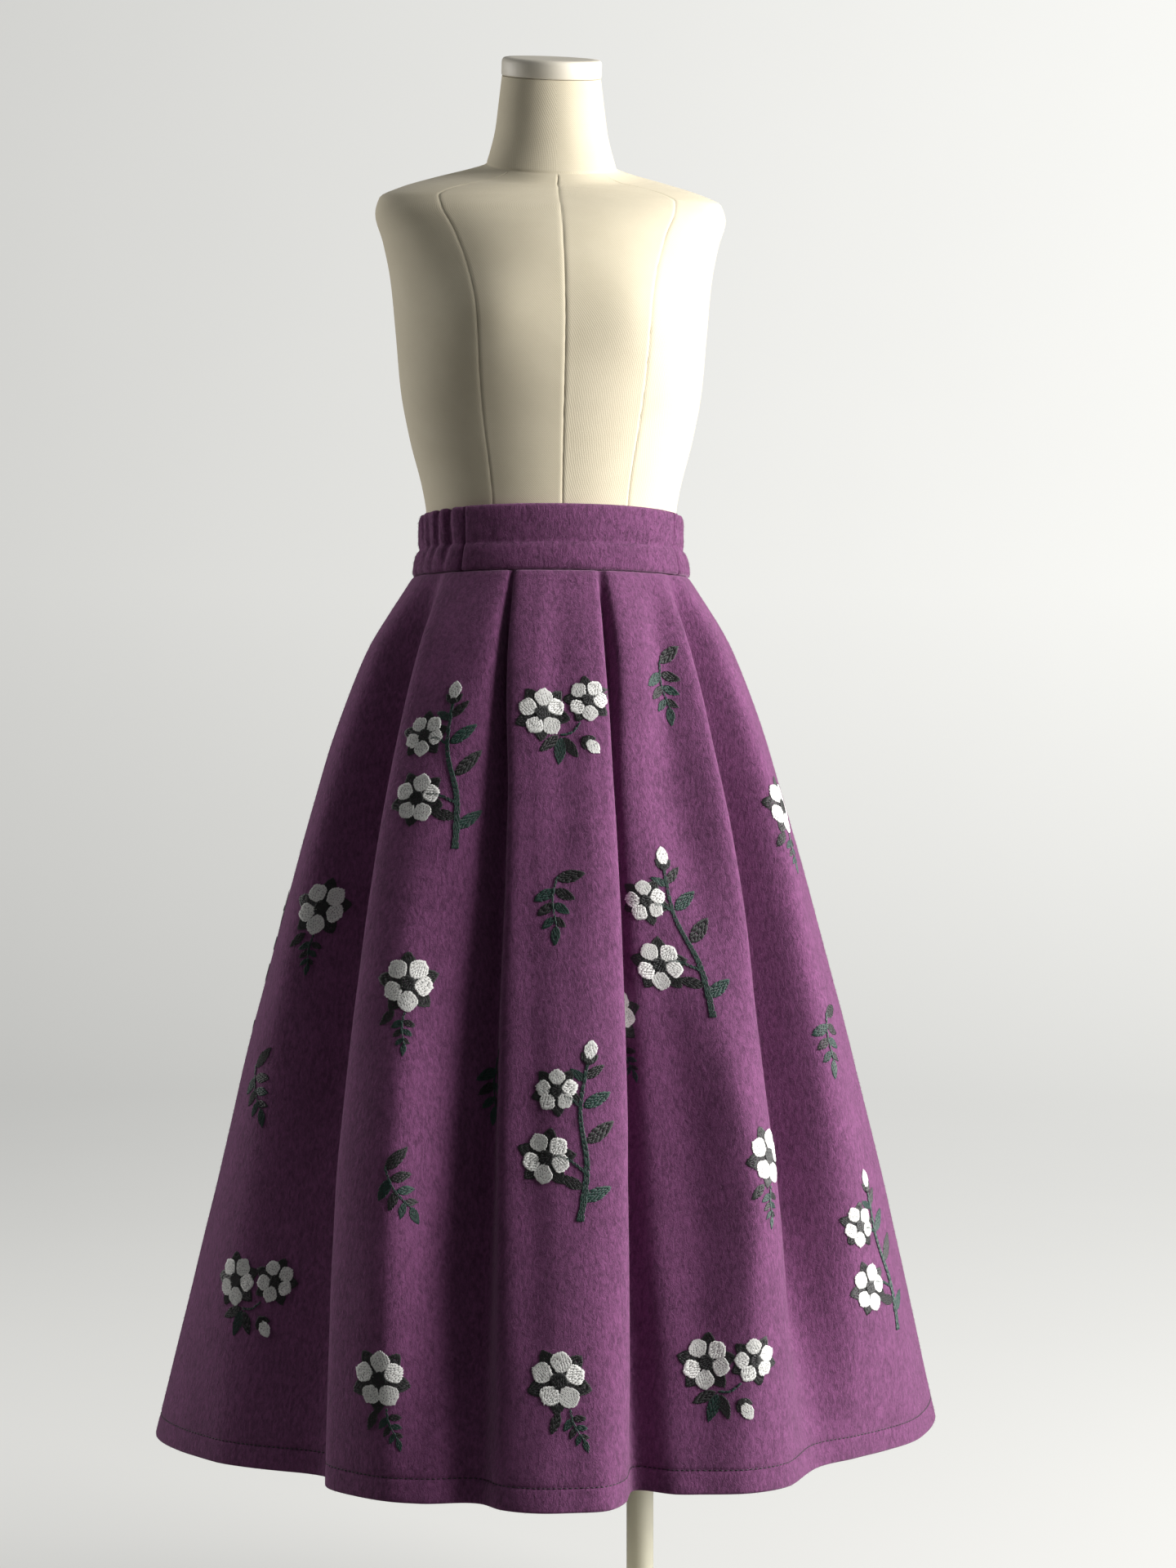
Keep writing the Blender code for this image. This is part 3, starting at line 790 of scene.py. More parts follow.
class Threads:
    """Many short raised threads, gathered as arrays and made into one joined mesh."""

    def __init__(self):
        self.points = []
        self.faces = []
        self.shades = []

    def lay(self, start, end, up, width, rise, shade, blunt=0.22):
        """One thread from start to end: pointed ends and two rounded sides."""
        along = end - start
        side = along.cross(up).normalized() * (width / 2)
        lift = up * rise
        near, far = start + along * blunt, end - along * blunt
        first = len(self.points)
        self.points += [
            start, near - side, near + lift, near + side,
            far - side, far + lift, far + side, end,
        ]
        a, bl, bt, br, cl, ct, cr, d = range(first, first + 8)
        self.faces += [
            (a, bt, bl), (a, br, bt), (bl, bt, ct, cl), (bt, br, cr, ct), (d, cl, ct), (d, ct, cr),
        ]
        self.shades += [shade] * 8

    def spike(self, root, tip, up, width, shade):
        """One fibre: a three-sided spike."""
        along = (tip - root).normalized()
        side = along.cross(up).normalized() * (width / 2)
        back = side.cross(along).normalized() * (width / 2)
        first = len(self.points)
        self.points += [root - side, root + side, root + back, tip]
        a, b, c, d = range(first, first + 4)
        self.faces += [(a, d, b), (b, d, c), (c, d, a)]
        # The root's three corners take 0.6 of the fibre's lightness: painted shade where the fibre
        # meets the cloth.
        self.shades += [shade * 0.6] * 3 + [shade]

    def make(self, name, material, slot):
        mesh = bpy.data.meshes.new(name)
        mesh.from_pydata(self.points, [], self.faces)
        shade = mesh.attributes.new("shade", "FLOAT", "POINT")
        shade.data.foreach_set("value", self.shades)
        mesh.materials.append(material)
        mesh.shade_smooth()
        return add_piece(name, mesh)


def shade_of(tree):
    """The socket with each thread's own lightness, which on the nap's fibres also holds painted shade
    at their roots.
    """
    return add_node(tree, "ShaderNodeAttribute", attribute_name="shade").outputs["Fac"]


def thread_material(name, colour, darkest, roughness, sheen):
    """Spun thread: each stitch a little lighter or darker, with fine twisted ply across it."""
    material, tree, shader = new_material(name)
    ply = noise_in(tree, on_object(tree), 2600.0, 2.0)
    mixed = maths(tree, "MULTIPLY", shade_of(tree), maths(tree, "ADD", ply, 0.5))
    feed(tree, shader, {
        "Base Color": blend(tree, mixed, shaded(colour, darkest), colour),
        "Normal": bump(tree, ply, 0.4, 0.0002),
        "Roughness": roughness,
        "Sheen Weight": sheen,
    })
    return material


def hem_stitching(name, first, last, material):
    threads = Threads()
    chance = random.Random(11 + first)
    column = first + 0.03
    while column < last - 0.05:
        here = on_cloth(column, HEM_STITCH_Z)
        pace = (on_cloth(column + 0.05, HEM_STITCH_Z) - here).length / 0.05
        ahead = column + STITCH_LENGTH / pace
        _, _, outward = cloth_directions((column + ahead) / 2, HEM_STITCH_Z)
        sink = outward * -STITCH_SINK
        drift = Vector((0, 0, chance.uniform(-STITCH_DRIFT, STITCH_DRIFT)))
        threads.lay(
            here + sink + drift, on_cloth(ahead, HEM_STITCH_Z) + sink - drift, outward,
            STITCH_THICKNESS * STITCH_WIDENING, STITCH_THICKNESS, chance.uniform(0.5, 1.0),
        )
        column += STITCH_PITCH / pace
    return threads.make(name, material, "plum_fleece")


hem_thread_with_groove_shade = thread_material("hem_thread_plum_with_groove_shade", HEM_THREAD_WITH_GROOVE_SHADE, 0.5, 0.6, 0.1)
hem_front = hem_stitching("hem_stitches_front", 0, FRONT_KNOTS, hem_thread_with_groove_shade)
hem_back = hem_stitching("hem_stitches_back", FRONT_KNOTS, ALL_KNOTS, hem_thread_with_groove_shade)


# The waistband: a doubled strip of the same wool over stiffening. It is smooth across the
# front, with a soft crease below its middle, and gathered on elastic round the sides and back.
BAND_TOP_Z = 1.071
BAND_TOP_DROP = 0.008
BAND_LEFT_DEG = -44
BAND_RIGHT_DEG = 61
CLEARANCE = 0.0004
BAND_OUTER = (
    # share of height, thickness
    (0.000, 0.0034), (0.004, 0.0064), (0.020, 0.0090), (0.055, 0.0102), (0.110, 0.0107),
    (0.180, 0.0108), (0.260, 0.0106), (0.320, 0.0101), (0.370, 0.0092), (0.410, 0.0080),
    (0.440, 0.0071), (0.475, 0.0072), (0.530, 0.0077), (0.620, 0.0081), (0.750, 0.0082),
    (0.870, 0.0079), (0.945, 0.0072), (0.982, 0.0060), (0.996, 0.0042), (1.000, 0.0020),
)
BAND_INNER = ((0.996, 0.0004), (0.950, 0.0), (0.750, 0.0), (0.500, 0.0), (0.250, 0.0), (0.030, 0.0))
BAND_ROWS = BAND_OUTER + BAND_INNER + BAND_OUTER[:1]
BAND_ENDS = (
    # distance from the end, share of the thickness
    (0.0, 0.76), (0.0012, 0.91), (0.0035, 0.98),
)
BAND_END_ROOM = 0.006
BAND_RADIUS = 0.117
BAND_JOIN_RADIUS = 0.1145
BAND_CREASE_SHARE = 0.44
BAND_CREASE_WIDTH = 0.040
BAND_CREASE_DEPTH = 0.0009
RUCHE_COUNT = 28
RUCHE_STEPS = 12
RUCHE_DEPTH = 0.0048
RUCHE_DROP = 0.0022
BAND_FRONT_STEPS = 150


def band_top(angle):
    """The band's top edge, which dips a little towards the back."""
    return BAND_TOP_Z - BAND_TOP_DROP * (1 - math.cos(angle)) / 2


def ruche_pull(angle, share):
    """How far the elastic draws the cloth in at a point of the band, from 0 to 1."""
    start, end = math.radians(BAND_RIGHT_DEG), math.radians(360 + BAND_LEFT_DEG)
    part = (angle - start) / (end - start)
    if not 0 < part < 1:
        return 0.0
    lean = 0.35 * noise.noise(Vector((part * 9.0, share * 1.6, 2.0)))
    place = part * RUCHE_COUNT + lean
    strength = 0.62 + 0.55 * noise.noise(Vector((math.floor(place + 0.5) * 3.7, share * 1.3, 5.0)))
    valley = ((1 + math.cos(math.tau * place)) / 2) ** 1.9
    edge = min(1.0, part * 30, (1 - part) * 30)
    return max(0.0, valley * strength) * edge


def band_point(angle, share, thickness):
    """A point of the band at an angle, a share of its height and a distance from the form."""
    pull = ruche_pull(angle, share)
    top = band_top(angle)
    height = SEAM_Z + share * (top - SEAM_Z) - RUCHE_DROP * pull * max(0.0, share - 0.6) / 0.4
    swell = noise.noise(Vector((angle * 4.0, share * 2.0, 0.0))) * 0.0006
    swell += noise.noise(Vector((angle * 16.0, share * 3.0, 4.0))) * 0.00025
    crease = share - BAND_CREASE_SHARE - 0.03 * noise.noise(Vector((angle * 5, 1.0, 0)))
    crease = math.exp(-((crease / BAND_CREASE_WIDTH) ** 2))
    swell -= BAND_CREASE_DEPTH * crease * (0.7 + 0.6 * noise.noise(Vector((angle * 7, 3.0, 0))))
    outer = min(1.0, thickness / 0.006)
    thickness += outer * (swell - RUCHE_DEPTH * pull * min(1.0, 0.16 + 1.5 * share))
    return torso_point(height, angle, CLEARANCE + max(thickness, 0.0))


def waistband(name, start_deg, end_deg, steps):
    start, end = math.radians(start_deg), math.radians(end_deg)
    span = (end - start) * BAND_RADIUS
    shares = [(offset / span, draw) for offset, draw in BAND_ENDS]
    room = BAND_END_ROOM / span
    middle = [(n / steps, 1.0) for n in range(1, steps) if room < n / steps < 1 - room]
    columns = shares + middle + [(1 - share, draw) for share, draw in reversed(shares)]

    def place(number, row):
        share, draw = columns[number]
        height_share, thickness = BAND_ROWS[row]
        return band_point(start + (end - start) * share, height_share, thickness * draw)

    maker = mapped_grid(len(columns) - 1, len(BAND_ROWS) - 1, place)
    close_up(maker, 0.00001)
    band = add_solid(name, maker, fleece, 70)
    return band


band_gap = math.degrees(GAP / 2 / BAND_JOIN_RADIUS)
band_front = waistband(
    "waistband_front_strip", BAND_LEFT_DEG + band_gap, BAND_RIGHT_DEG - band_gap, BAND_FRONT_STEPS,
)
band_back = waistband(
    "waistband_back_strip", BAND_RIGHT_DEG + band_gap, 360 + BAND_LEFT_DEG - band_gap,
    RUCHE_COUNT * RUCHE_STEPS,
)
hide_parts("waistband_front")
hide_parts("waistband_back")


# The embroidery: machine satin stitch in white, black and dark green thread, worked on the
# flat cloth before it was pleated, so that some motifs run into the folds. The motifs are
# plain garden ones: open blossoms with a dark heart, buds, and sprigs of round leaves.
WHITE_THREAD = (0.930, 0.925, 0.900)
BLACK_THREAD = (0.011, 0.012, 0.012)
GREEN_THREAD = (0.010, 0.046, 0.036)
FILL_PITCH = 0.90
FILL_LENGTH = 6.4
LAYER_RISE = (0.00025, 0.00070, 0.00110)
SATIN_WIDTH = 0.00098
SATIN_RISE = 0.00055
SATIN_TAPER = 0.12


def facing(turn_deg):
    """The directions ahead and to the side at a turn clockwise from straight up."""
    turn = math.radians(turn_deg)
    return Vector((math.sin(turn), math.cos(turn))), Vector((math.cos(turn), -math.sin(turn)))


def petal(cx, cy, length, width, turn_deg, fullness=0.8, start=0.0):
    """A pointed oval that grows from a point, as an outline in millimetres."""
    ahead, side = facing(turn_deg)
    base = Vector((cx, cy)) + ahead * start
    steps = 14
    edge = [
        (length * n / steps, width / 2 * math.sin(math.pi * (n / steps) ** fullness) ** 0.75)
        for n in range(steps + 1)
    ]
    rim = [base + ahead * along + side * out for along, out in edge]
    return rim + [base + ahead * along - side * out for along, out in reversed(edge[1:-1])]


def ribbon(path, widths):
    """A long shape of changing width round a smooth line, in millimetres."""
    line = []
    for place in range(len(path) - 1):
        before = path[max(place - 1, 0)]
        start, end = path[place], path[place + 1]
        after = path[min(place + 2, len(path) - 1)]
        for step in range(6):
            t = step / 6
            sides = zip(before, start, end, after)
            line.append(Vector([cubic(s, (e - b) / 2, e, (a - s) / 2, t) for b, s, e, a in sides]))
    line.append(Vector(path[-1]))
    left, right = [], []
    for place, point in enumerate(line):
        ahead = line[min(place + 1, len(line) - 1)] - line[max(place - 1, 0)]
        side = Vector((ahead.y, -ahead.x)).normalized()
        share = place / (len(line) - 1)
        width = widths[0] + (widths[1] - widths[0]) * share
        left.append(point - side * width / 2)
        right.append(point + side * width / 2)
    return left + right[::-1]


def blossom(cx, cy, size, turn):
    """An open flower: five white petals, black sepals between them and a black heart."""
    shapes = []
    for n in range(5):
        lean = turn + 72 * n + (5, -4, 3, -5, 4)[n]
        reach = size * (0.42, 0.38, 0.43, 0.39, 0.41)[n]
        shapes.append(("white", 1, lean, petal(cx, cy, reach, size * 0.37, lean, 1.2, size * 0.10)))
        outline = petal(cx, cy, size * 0.50, size * 0.32, lean + 36, 0.95, size * 0.10)
        shapes.append(("black", 0, lean + 36, outline))
    heart = petal(cx, cy, size * 0.32, size * 0.31, turn + 20, 1.0, -size * 0.16)
    return shapes + [("black", 2, turn + 20, heart)]


def bud(cx, cy, size, turn):
    """A closed flower: a white drop in a black cup."""
    return [
        ("white", 1, turn, petal(cx, cy, size, size * 0.62, turn, 1.1, size * 0.12)),
        ("black", 0, turn - 32, petal(cx, cy, size * 0.62, size * 0.34, turn - 42, 0.8)),
        ("black", 0, turn + 32, petal(cx, cy, size * 0.62, size * 0.34, turn + 42, 0.8)),
        ("black", 2, turn, petal(cx, cy, size * 0.36, size * 0.42, turn, 1.0, -size * 0.10)),
    ]


def leaf(cx, cy, length, width, turn, colour="green"):
    return [(colour, 0, turn, petal(cx, cy, length, width, turn, 0.85))]


def leaf_sprig(cx, cy, size, turn):
    """A short curved stem with pairs of round leaves."""
    ahead, side = facing(turn)
    foot = Vector((cx, cy))
    bend = [foot, foot + ahead * size * 0.4 + side * size * 0.07, foot + ahead * size * 0.85]
    shapes = [("green", 1, turn, ribbon([tuple(p) for p in bend], (2.0, 1.3)))]
    for n, share in enumerate((0.22, 0.45, 0.68)):
        root = foot + ahead * size * share + side * size * 0.05 * math.sin(math.pi * share)
        reach = size * (0.40 - 0.06 * n)
        colour = "black" if n == 1 else "green"
        other = "green" if n == 1 else "black"
        shapes += leaf(*root, reach, reach * 0.46, turn + 62 - 8 * n, colour)
        shapes += leaf(*root, reach * 0.92, reach * 0.44, turn - 66 + 8 * n, other)
    tip = foot + ahead * size * 0.82
    return shapes + leaf(*tip, size * 0.34, size * 0.15, turn + 6)


def tall_stem(turn):
    """A flowering stem as tall as a hand, with two blossoms, a bud and side leaves."""
    shapes = [("green", 1, 8, ribbon([(15, -76), (17, -30), (7, 15), (9, 58)], (6.0, 2.2)))]
    shapes += [("green", 1, -42, ribbon([(15, -34), (2, -26), (-9, -23)], (2.4, 1.6)))]
    shapes += [("green", 1, -38, ribbon([(8, 18), (-2, 26), (-8, 27)], (2.2, 1.5)))]
    shapes += blossom(-18, -26, 43, 12 + turn) + blossom(-15, 31, 37, 40 + turn)
    shapes += bud(9, 57, 18, 6)
    for x, y, length, lean, colour in (
        (16, -58, 27, 62, "green"), (15, -10, 30, 48, "black"), (9, 20, 27, 58, "green"),
        (16, -48, 24, -70, "black"), (8, 44, 20, 50, "black"), (9, 42, 17, -58, "green"),
    ):
        shapes += leaf(x, y, length, length * 0.40, lean, colour)
    return shapes


def single_blossom(turn):
    """One large blossom over a short sprig."""
    shapes = blossom(0, 10, 47, turn)
    return shapes + leaf_sprig(3, -15, 32, 168) + leaf(-6, -15, 19, 8, 215, "black")


def blossom_pair(turn):
    """Two blossoms side by side with a bud and a few leaves under them."""
    shapes = blossom(-20, 4, 43, turn) + blossom(21, 12, 37, turn + 25)
    shapes += [("green", 1, 60, ribbon([(-6, -18), (4, -16), (12, -8)], (2.0, 1.5)))]
    shapes += leaf(-6, -20, 24, 10, 190, "green") + leaf(-4, -20, 22, 9, 150, "black")
    return shapes + leaf(-8, -18, 22, 9, 235, "black") + bud(14, -22, 17, 140)


def sprig_alone(turn):
    return leaf_sprig(-4, 26, 52, 172 + turn) + leaf(-4, 24, 26, 11, 60, "black")


MOTIFS = {"stem": tall_stem, "single": single_blossom, "pair": blossom_pair, "sprig": sprig_alone}
FRONT_MOTIFS = (
    # column, height, motif, lean and turn in degrees
    (4.30, 0.835, "stem", -8, 0),
    (4.10, 0.640, "single", 12, 20),
    (4.10, 0.475, "sprig", -16, -12),
    (3.95, 0.315, "single", -10, 8),
    (1.25, 0.700, "single", 12, 30),
    (0.95, 0.545, "sprig", -18, 0),
    (1.20, 0.375, "pair", 8, 18),
    (9.20, 0.880, "pair", -5, 5),
    (8.70, 0.715, "sprig", 18, -10),
    (9.30, 0.530, "stem", 6, 25),
    (8.90, 0.320, "single", -12, 15),
    (15.2, 0.905, "sprig", -10, 12),
    (14.3, 0.690, "stem", -6, 32),
    (15.5, 0.490, "single", 14, 0),
    (14.5, 0.325, "pair", 8, 28),
    (18.4, 0.790, "single", 10, 22),
    (18.2, 0.590, "sprig", 18, -6),
    (18.5, 0.400, "stem", -8, 10),
    (6.20, 0.560, "sprig", 8, 4),
    (12.2, 0.610, "single", -10, 40),
)
BACK_MOTIFS = (
    (21.1, 0.860, "sprig", 12, 0),
    (21.2, 0.630, "pair", -8, 16),
    (21.0, 0.360, "single", 10, 30),
    (23.1, 0.800, "single", -6, 12),
    (23.0, 0.500, "stem", 8, 24),
    (24.4, 0.320, "sprig", -14, 0),
    (25.0, 0.890, "pair", 6, 38),
    (25.1, 0.690, "sprig", 18, -8),
    (26.6, 0.450, "single", -6, 14),
    (27.0, 0.780, "stem", -12, 10),
    (27.0, 0.300, "pair", -8, 4),
    (29.0, 0.880, "single", -8, 18),
    (29.1, 0.650, "sprig", 10, 8),
    (29.0, 0.440, "stem", 6, 33),
    (31.0, 0.760, "pair", 10, 12),
    (31.1, 0.550, "sprig", -16, 0),
    (31.4, 0.330, "single", 12, 5),
    (33.0, 0.870, "sprig", -10, 0),
    (33.1, 0.650, "stem", 8, 28),
    (33.0, 0.410, "pair", -12, 15),
)


def fill_lines(outline, lean_deg, chance):
    """Stitches that fill an outline side by side, as pairs of points in millimetres."""
    ahead, side = facing(lean_deg)
    flat = [(p.dot(side), p.dot(ahead)) for p in outline]
    low, high = min(x for x, _ in flat), max(x for x, _ in flat)
    count = max(1, round((high - low) / FILL_PITCH))
    found = []
    for n in range(count):
        x = low + (high - low) * (n + 0.5) / count
        cuts = []
        for (x0, y0), (x1, y1) in zip(flat, flat[1:] + flat[:1]):
            if (x0 > x) != (x1 > x):
                cuts.append(y0 + (y1 - y0) * (x - x0) / (x1 - x0))
        cuts.sort()
        for bottom, top in zip(cuts[::2], cuts[1::2]):
            bottom -= chance.uniform(-0.2, 0.7)
            top += chance.uniform(-0.2, 0.7)
            at = bottom
            reach = FILL_LENGTH * (0.55 if n % 2 else 1.0) * chance.uniform(0.85, 1.15)
            while at < top - 0.5:
                end = top if top - at < reach * 1.35 else at + reach
                drift = chance.uniform(-0.16, 0.16)
                found.append((side * (x + drift) + ahead * at, side * (x - drift) + ahead * end))
                at = end - 0.1
                reach = FILL_LENGTH * chance.uniform(0.85, 1.15)
    return found


def cloth_place(column, height, offset):
    """The column and height of a point given in millimetres along and up the cloth."""
    level = height + offset.y / 1000 * 0.97
    level = min(max(level, HEM_Z + 0.004), TOP_Z - 0.004)
    left = offset.x / 1000
    here = on_cloth(column, level)
    step = math.copysign(0.02, left)
    while abs(left) > 0:
        there = on_cloth(column + step, level)
        span = (there - here).length
        if span >= abs(left):
            return column + step * abs(left) / span, level
        left -= math.copysign(span, left)
        column += step
        here = there
    return column, level


def embroider(side, motifs, seed):
    """Works every motif of one panel, and returns a piece for each colour of thread."""
    chance = random.Random(seed)
    colours = {"white": Threads(), "black": Threads(), "green": Threads()}
    for column, height, kind, lean, turn in motifs:
        slant = math.radians(lean)
        spin = Matrix(((math.cos(slant), math.sin(slant)), (-math.sin(slant), math.cos(slant))))
        for colour, layer, direction, outline in MOTIFS[kind](turn):
            for start, end in fill_lines(outline, direction, chance):
                first = cloth_place(column, height, spin @ start)
                last = cloth_place(column, height, spin @ end)
                _, _, outward = cloth_directions((first[0] + last[0]) / 2, (first[1] + last[1]) / 2)
                rise = outward * LAYER_RISE[layer]
                colours[colour].lay(
                    on_cloth(*first) + rise, on_cloth(*last) + rise, outward,
                    SATIN_WIDTH, SATIN_RISE, chance.uniform(0.35, 1.0), SATIN_TAPER,
                )
    return [
        colours[colour].make(f"embroidery_{colour}_{side}", THREADS[colour], "plum_fleece")
        for colour in colours
    ]


THREADS = {
    "white": thread_material("embroidery_thread_white", WHITE_THREAD, 0.72, 0.55, 0.25),
    "black": thread_material("embroidery_thread_black", BLACK_THREAD, 0.55, 0.50, 0.12),
    "green": thread_material("embroidery_thread_green", GREEN_THREAD, 0.45, 0.52, 0.10),
}
embroidery_front = embroider("front", FRONT_MOTIFS, 23)
embroidery_back = embroider("back", BACK_MOTIFS, 29)


# The nap: short loose fibres that stand off the brushed face of the wool, combed downwards.
# They show most against the light, along the folds, the band and the hem.
NAP_LENGTH = (0.0012, 0.0030)
NAP_WIDTH = 0.00022
NAP_SWING = 0.7
NAP_LIFT = (0.12, 0.75)
NAP_ON_EDGE = 0.12
NAP_FRONT = 52000
NAP_BACK = 34000
NAP_BAND = 16000
NAP_PINK = (0.235, 0.098, 0.190)


def nap_material():
    material, tree, shader = new_material("wool_nap_plum")
    feed(tree, shader, {
        # A fibre's lightness, with painted shade at its root, runs from dark plum to pink.
        "Base Color": blend(tree, shade_of(tree), FLEECE_DARK, NAP_PINK),
        "Roughness": 0.95,
        "Specular IOR Level": 0.1,
        "Sheen Weight": 0.2,
    })
    return material


def comb(threads, root, along, upwards, outward, chance):
    """One fibre that lies mostly downwards and lifts off the cloth at its tip."""
    swing = chance.gauss(0.0, NAP_SWING)
    lift = chance.uniform(*NAP_LIFT)
    length = chance.uniform(*NAP_LENGTH)
    flow = along * math.sin(swing) - upwards * math.cos(swing)
    tip = root + (flow * math.cos(lift) + outward * math.sin(lift)) * length
    threads.spike(root - outward * 0.0001, tip, outward, NAP_WIDTH, chance.uniform(0.25, 1.0))


def cloth_nap(name, first, last, count, seed, material):
    chance = random.Random(seed)
    threads = Threads()
    widest = 0.12
    while len(threads.points) < 4 * count:
        column = chance.uniform(first + 0.02, last - 0.02)
        height = chance.uniform(HEM_Z + 0.001, TOP_Z - 0.003)
        pace = (on_cloth(column + 0.02, height) - on_cloth(column - 0.02, height)).length / 0.04
        if chance.random() * widest > pace:
            continue
        along, upwards, outward = cloth_directions(column, height)
        comb(threads, on_cloth(column, height), along, upwards, outward, chance)
    return threads.make(name, material, "plum_fleece")


def band_nap(name, count, seed, material):
    chance = random.Random(seed)
    threads = Threads()
    shares = [share for share, _ in BAND_OUTER]
    depths = [thickness for _, thickness in BAND_OUTER]
    start = math.radians(BAND_LEFT_DEG)
    for _ in range(count):
        angle = start + chance.uniform(0.01, math.tau - 0.01)
        if chance.random() < NAP_ON_EDGE:
            share = 1 - 0.012 * chance.random()
        else:
            share = chance.uniform(0.01, 0.99)
        depth = smooth_between(shares, depths, share)
        root = band_point(angle, share, depth)
        along = band_point(angle + 0.01, share, depth) - root
        above = min(share + 0.02, 1.0)
        upwards = band_point(angle, above, smooth_between(shares, depths, above))
        upwards = (upwards - root).normalized() if share < 0.97 else Vector((0, 0, 1))
        outward = along.cross(upwards).normalized()
        if share > 0.985:
            outward = (outward + Vector((0, 0, 1.2))).normalized()
        comb(threads, root, along.normalized(), upwards, outward, chance)
    return threads.make(name, material, "plum_fleece")


nap = nap_material()
cloth_nap("nap_front", 0, FRONT_KNOTS, NAP_FRONT, 5, nap)
cloth_nap("nap_back", FRONT_KNOTS, ALL_KNOTS, NAP_BACK, 6, nap)
band_nap("nap_waistband", NAP_BAND, 7, nap)


# The studio: a seamless pale sweep of painted plaster all round, a soft window from the
# right, and a weak one on the far left. The sweep looks paler towards the window by a painted glow
# that only the camera sees.
SWEEP_RADIUS = 6.0
SWEEP_HEIGHT = 4.5
SWEEP_CURVE = 1.2
SWEEP_CURVE_STEPS = 12
SWEEP_STEPS = 96
SWEEP_WEAR_SCALE = 1.2
SWEEP_WHITE = (0.80, 0.80, 0.775)
# The sweep's colour for camera rays, and a darker one for light that bounces off it, so that it
# lights the form less than it looks lit.
SWEEP_SEEN = (0.20, 0.20, 0.194)
SWEEP_SHADED = (0.16, 0.16, 0.155)
# Painted glow on the sweep, which is no lamp and is seen only by the camera: brighter towards the
# window at +X, and dimmer on the floor than up the wall.
SWEEP_PAINTED_GLOW = 0.86
SWEEP_PAINTED_GLOW_PER_METRE = 0.110
SWEEP_PAINTED_GLOW_RANGE = (0.66, 1.20)
SWEEP_FLOOR_SHARE = 0.80
SWEEP_RISE_SHARE = 0.14
WINDOW_POWER = 202.0
WINDOW_SIZE = 2.0
WINDOW_PLACE = (2.45, -0.85, 1.55)
FAR_WINDOW_POWER = 32.0
FAR_WINDOW_SIZE = 1.5
FAR_WINDOW_PLACE = (-2.3, 1.10, 1.40)
WINDOW_AIM = (0.0, 0.0, 0.9)
WINDOW_COLOUR = (1.0, 0.985, 0.965)
ROOM_LIGHT = 0.21
ROOM_COLOUR = (0.96, 0.98, 1.0, 1)
CAMERA_TURN_DEG = 7.0
CAMERA_DISTANCE = 2.5
CAMERA_SHIFT = 0.034
CAMERA_HEIGHT = 0.82
PHOTO_HEIGHT_PIXELS = 1920
FOCAL_PIXELS = 3300
SENSOR_WIDTH = 36.0

material, tree, shader = new_material("sweep_paint_and_painted_glow")
wear = wear_over(tree, SWEEP_WEAR_SCALE)
# Only camera rays see the painted glow and the paler colour.
seen = add_node(tree, "ShaderNodeLightPath").outputs["Is Camera Ray"]
where = add_node(tree, "ShaderNodeSeparateXYZ", {0: on_object(tree)})
# Painted glow, brighter towards the window at +X.
painted_glow = maths(tree, "MULTIPLY", where.outputs[0], SWEEP_PAINTED_GLOW_PER_METRE)
painted_glow = maths(tree, "ADD", painted_glow, SWEEP_PAINTED_GLOW)
painted_glow = maths(tree, "MAXIMUM", painted_glow, SWEEP_PAINTED_GLOW_RANGE[0])
painted_glow = maths(tree, "MINIMUM", painted_glow, SWEEP_PAINTED_GLOW_RANGE[1])
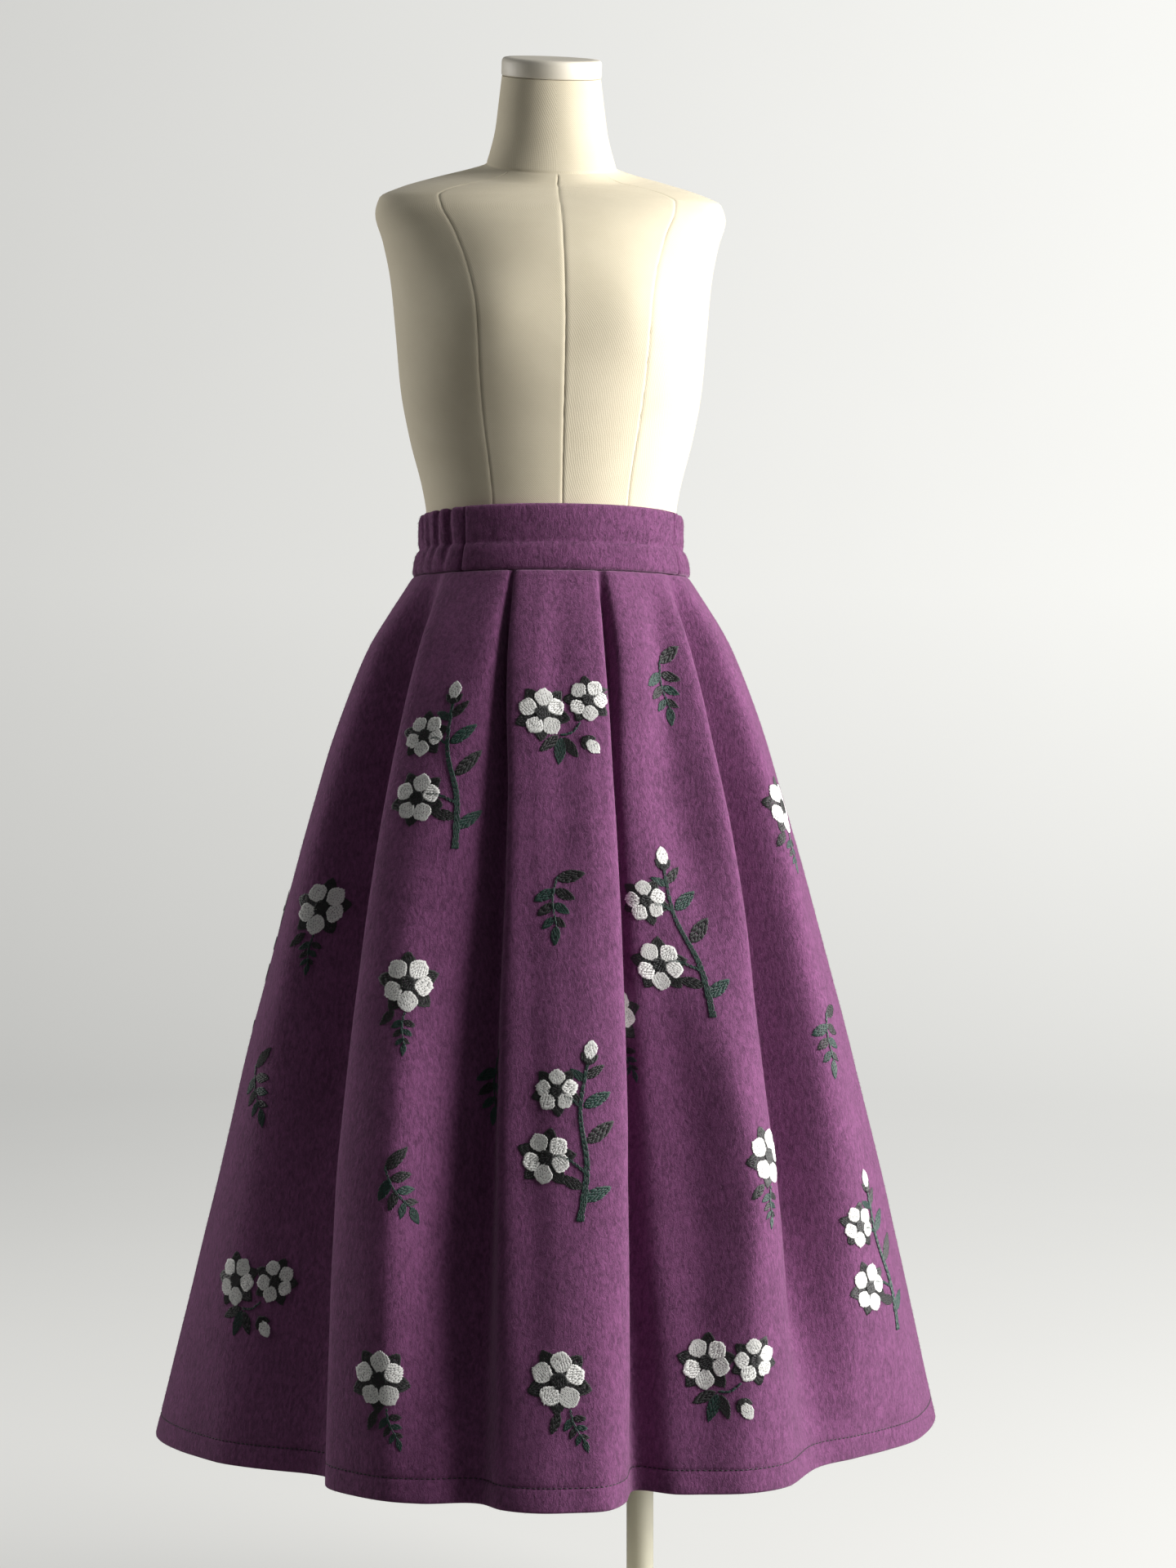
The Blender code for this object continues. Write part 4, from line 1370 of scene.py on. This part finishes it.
# Painted glow, dimmer on the floor than up the wall.
rise = maths(tree, "MULTIPLY", where.outputs[2], SWEEP_RISE_SHARE)
rise = maths(tree, "MINIMUM", maths(tree, "ADD", rise, SWEEP_FLOOR_SHARE), 1.0)
painted_glow = maths(tree, "MULTIPLY", maths(tree, "MULTIPLY", painted_glow, rise), seen)
feed(tree, shader, {
    "Base Color": blend(tree, seen, SWEEP_SHADED, SWEEP_SEEN),
    "Emission Color": blend(tree, wear.outputs["Clouds"], shaded(SWEEP_WHITE, 0.97), SWEEP_WHITE),
    "Emission Strength": painted_glow,
    "Roughness": 0.9,
})

flat_end = SWEEP_RADIUS - SWEEP_CURVE
outline = [(0.0, 0.0), (flat_end, 0.0)]
for n in range(1, SWEEP_CURVE_STEPS + 1):
    turn = math.pi / 2 * n / SWEEP_CURVE_STEPS
    outline.append((flat_end + SWEEP_CURVE * math.sin(turn), SWEEP_CURVE * (1 - math.cos(turn))))
outline.append((SWEEP_RADIUS, SWEEP_HEIGHT))
maker = turned(outline, Matrix(), SWEEP_STEPS)
bmesh.ops.reverse_faces(maker, faces=maker.faces[:])
new_object("studio_sweep", mesh_of("studio_sweep", maker, material))

for name, power, size, place in (
    ("window", WINDOW_POWER, WINDOW_SIZE, WINDOW_PLACE),
    ("far_window", FAR_WINDOW_POWER, FAR_WINDOW_SIZE, FAR_WINDOW_PLACE),
):
    window = bpy.data.lights.new(name, "AREA")
    window.energy = power
    window.size = size
    window.color = WINDOW_COLOUR
    window_object = new_object(name, window)
    window_object.location = place
    aim = Vector(WINDOW_AIM) - Vector(place)
    window_object.rotation_euler = aim.to_track_quat("-Z", "Y").to_euler()
    window_object.visible_camera = False

world = bpy.data.worlds.new("room")
world.use_nodes = True
background = world.node_tree.nodes["Background"]
feed(world.node_tree, background, {"Color": ROOM_COLOUR, "Strength": ROOM_LIGHT})
bpy.context.scene.world = world
bpy.context.scene.view_settings.view_transform = "Standard"

camera = bpy.data.cameras.new("camera")
camera.sensor_width = SENSOR_WIDTH
camera.lens = SENSOR_WIDTH * FOCAL_PIXELS / PHOTO_HEIGHT_PIXELS
camera_object = new_object("camera", camera)
turn = math.radians(CAMERA_TURN_DEG)
ahead = Vector((math.sin(turn), math.cos(turn), 0))
side = Vector((math.cos(turn), -math.sin(turn), 0))
camera_object.location = side * CAMERA_SHIFT - ahead * CAMERA_DISTANCE + Vector((0, 0, CAMERA_HEIGHT))
camera_object.rotation_euler = (math.pi / 2, 0, -turn)
bpy.context.scene.camera = camera_object
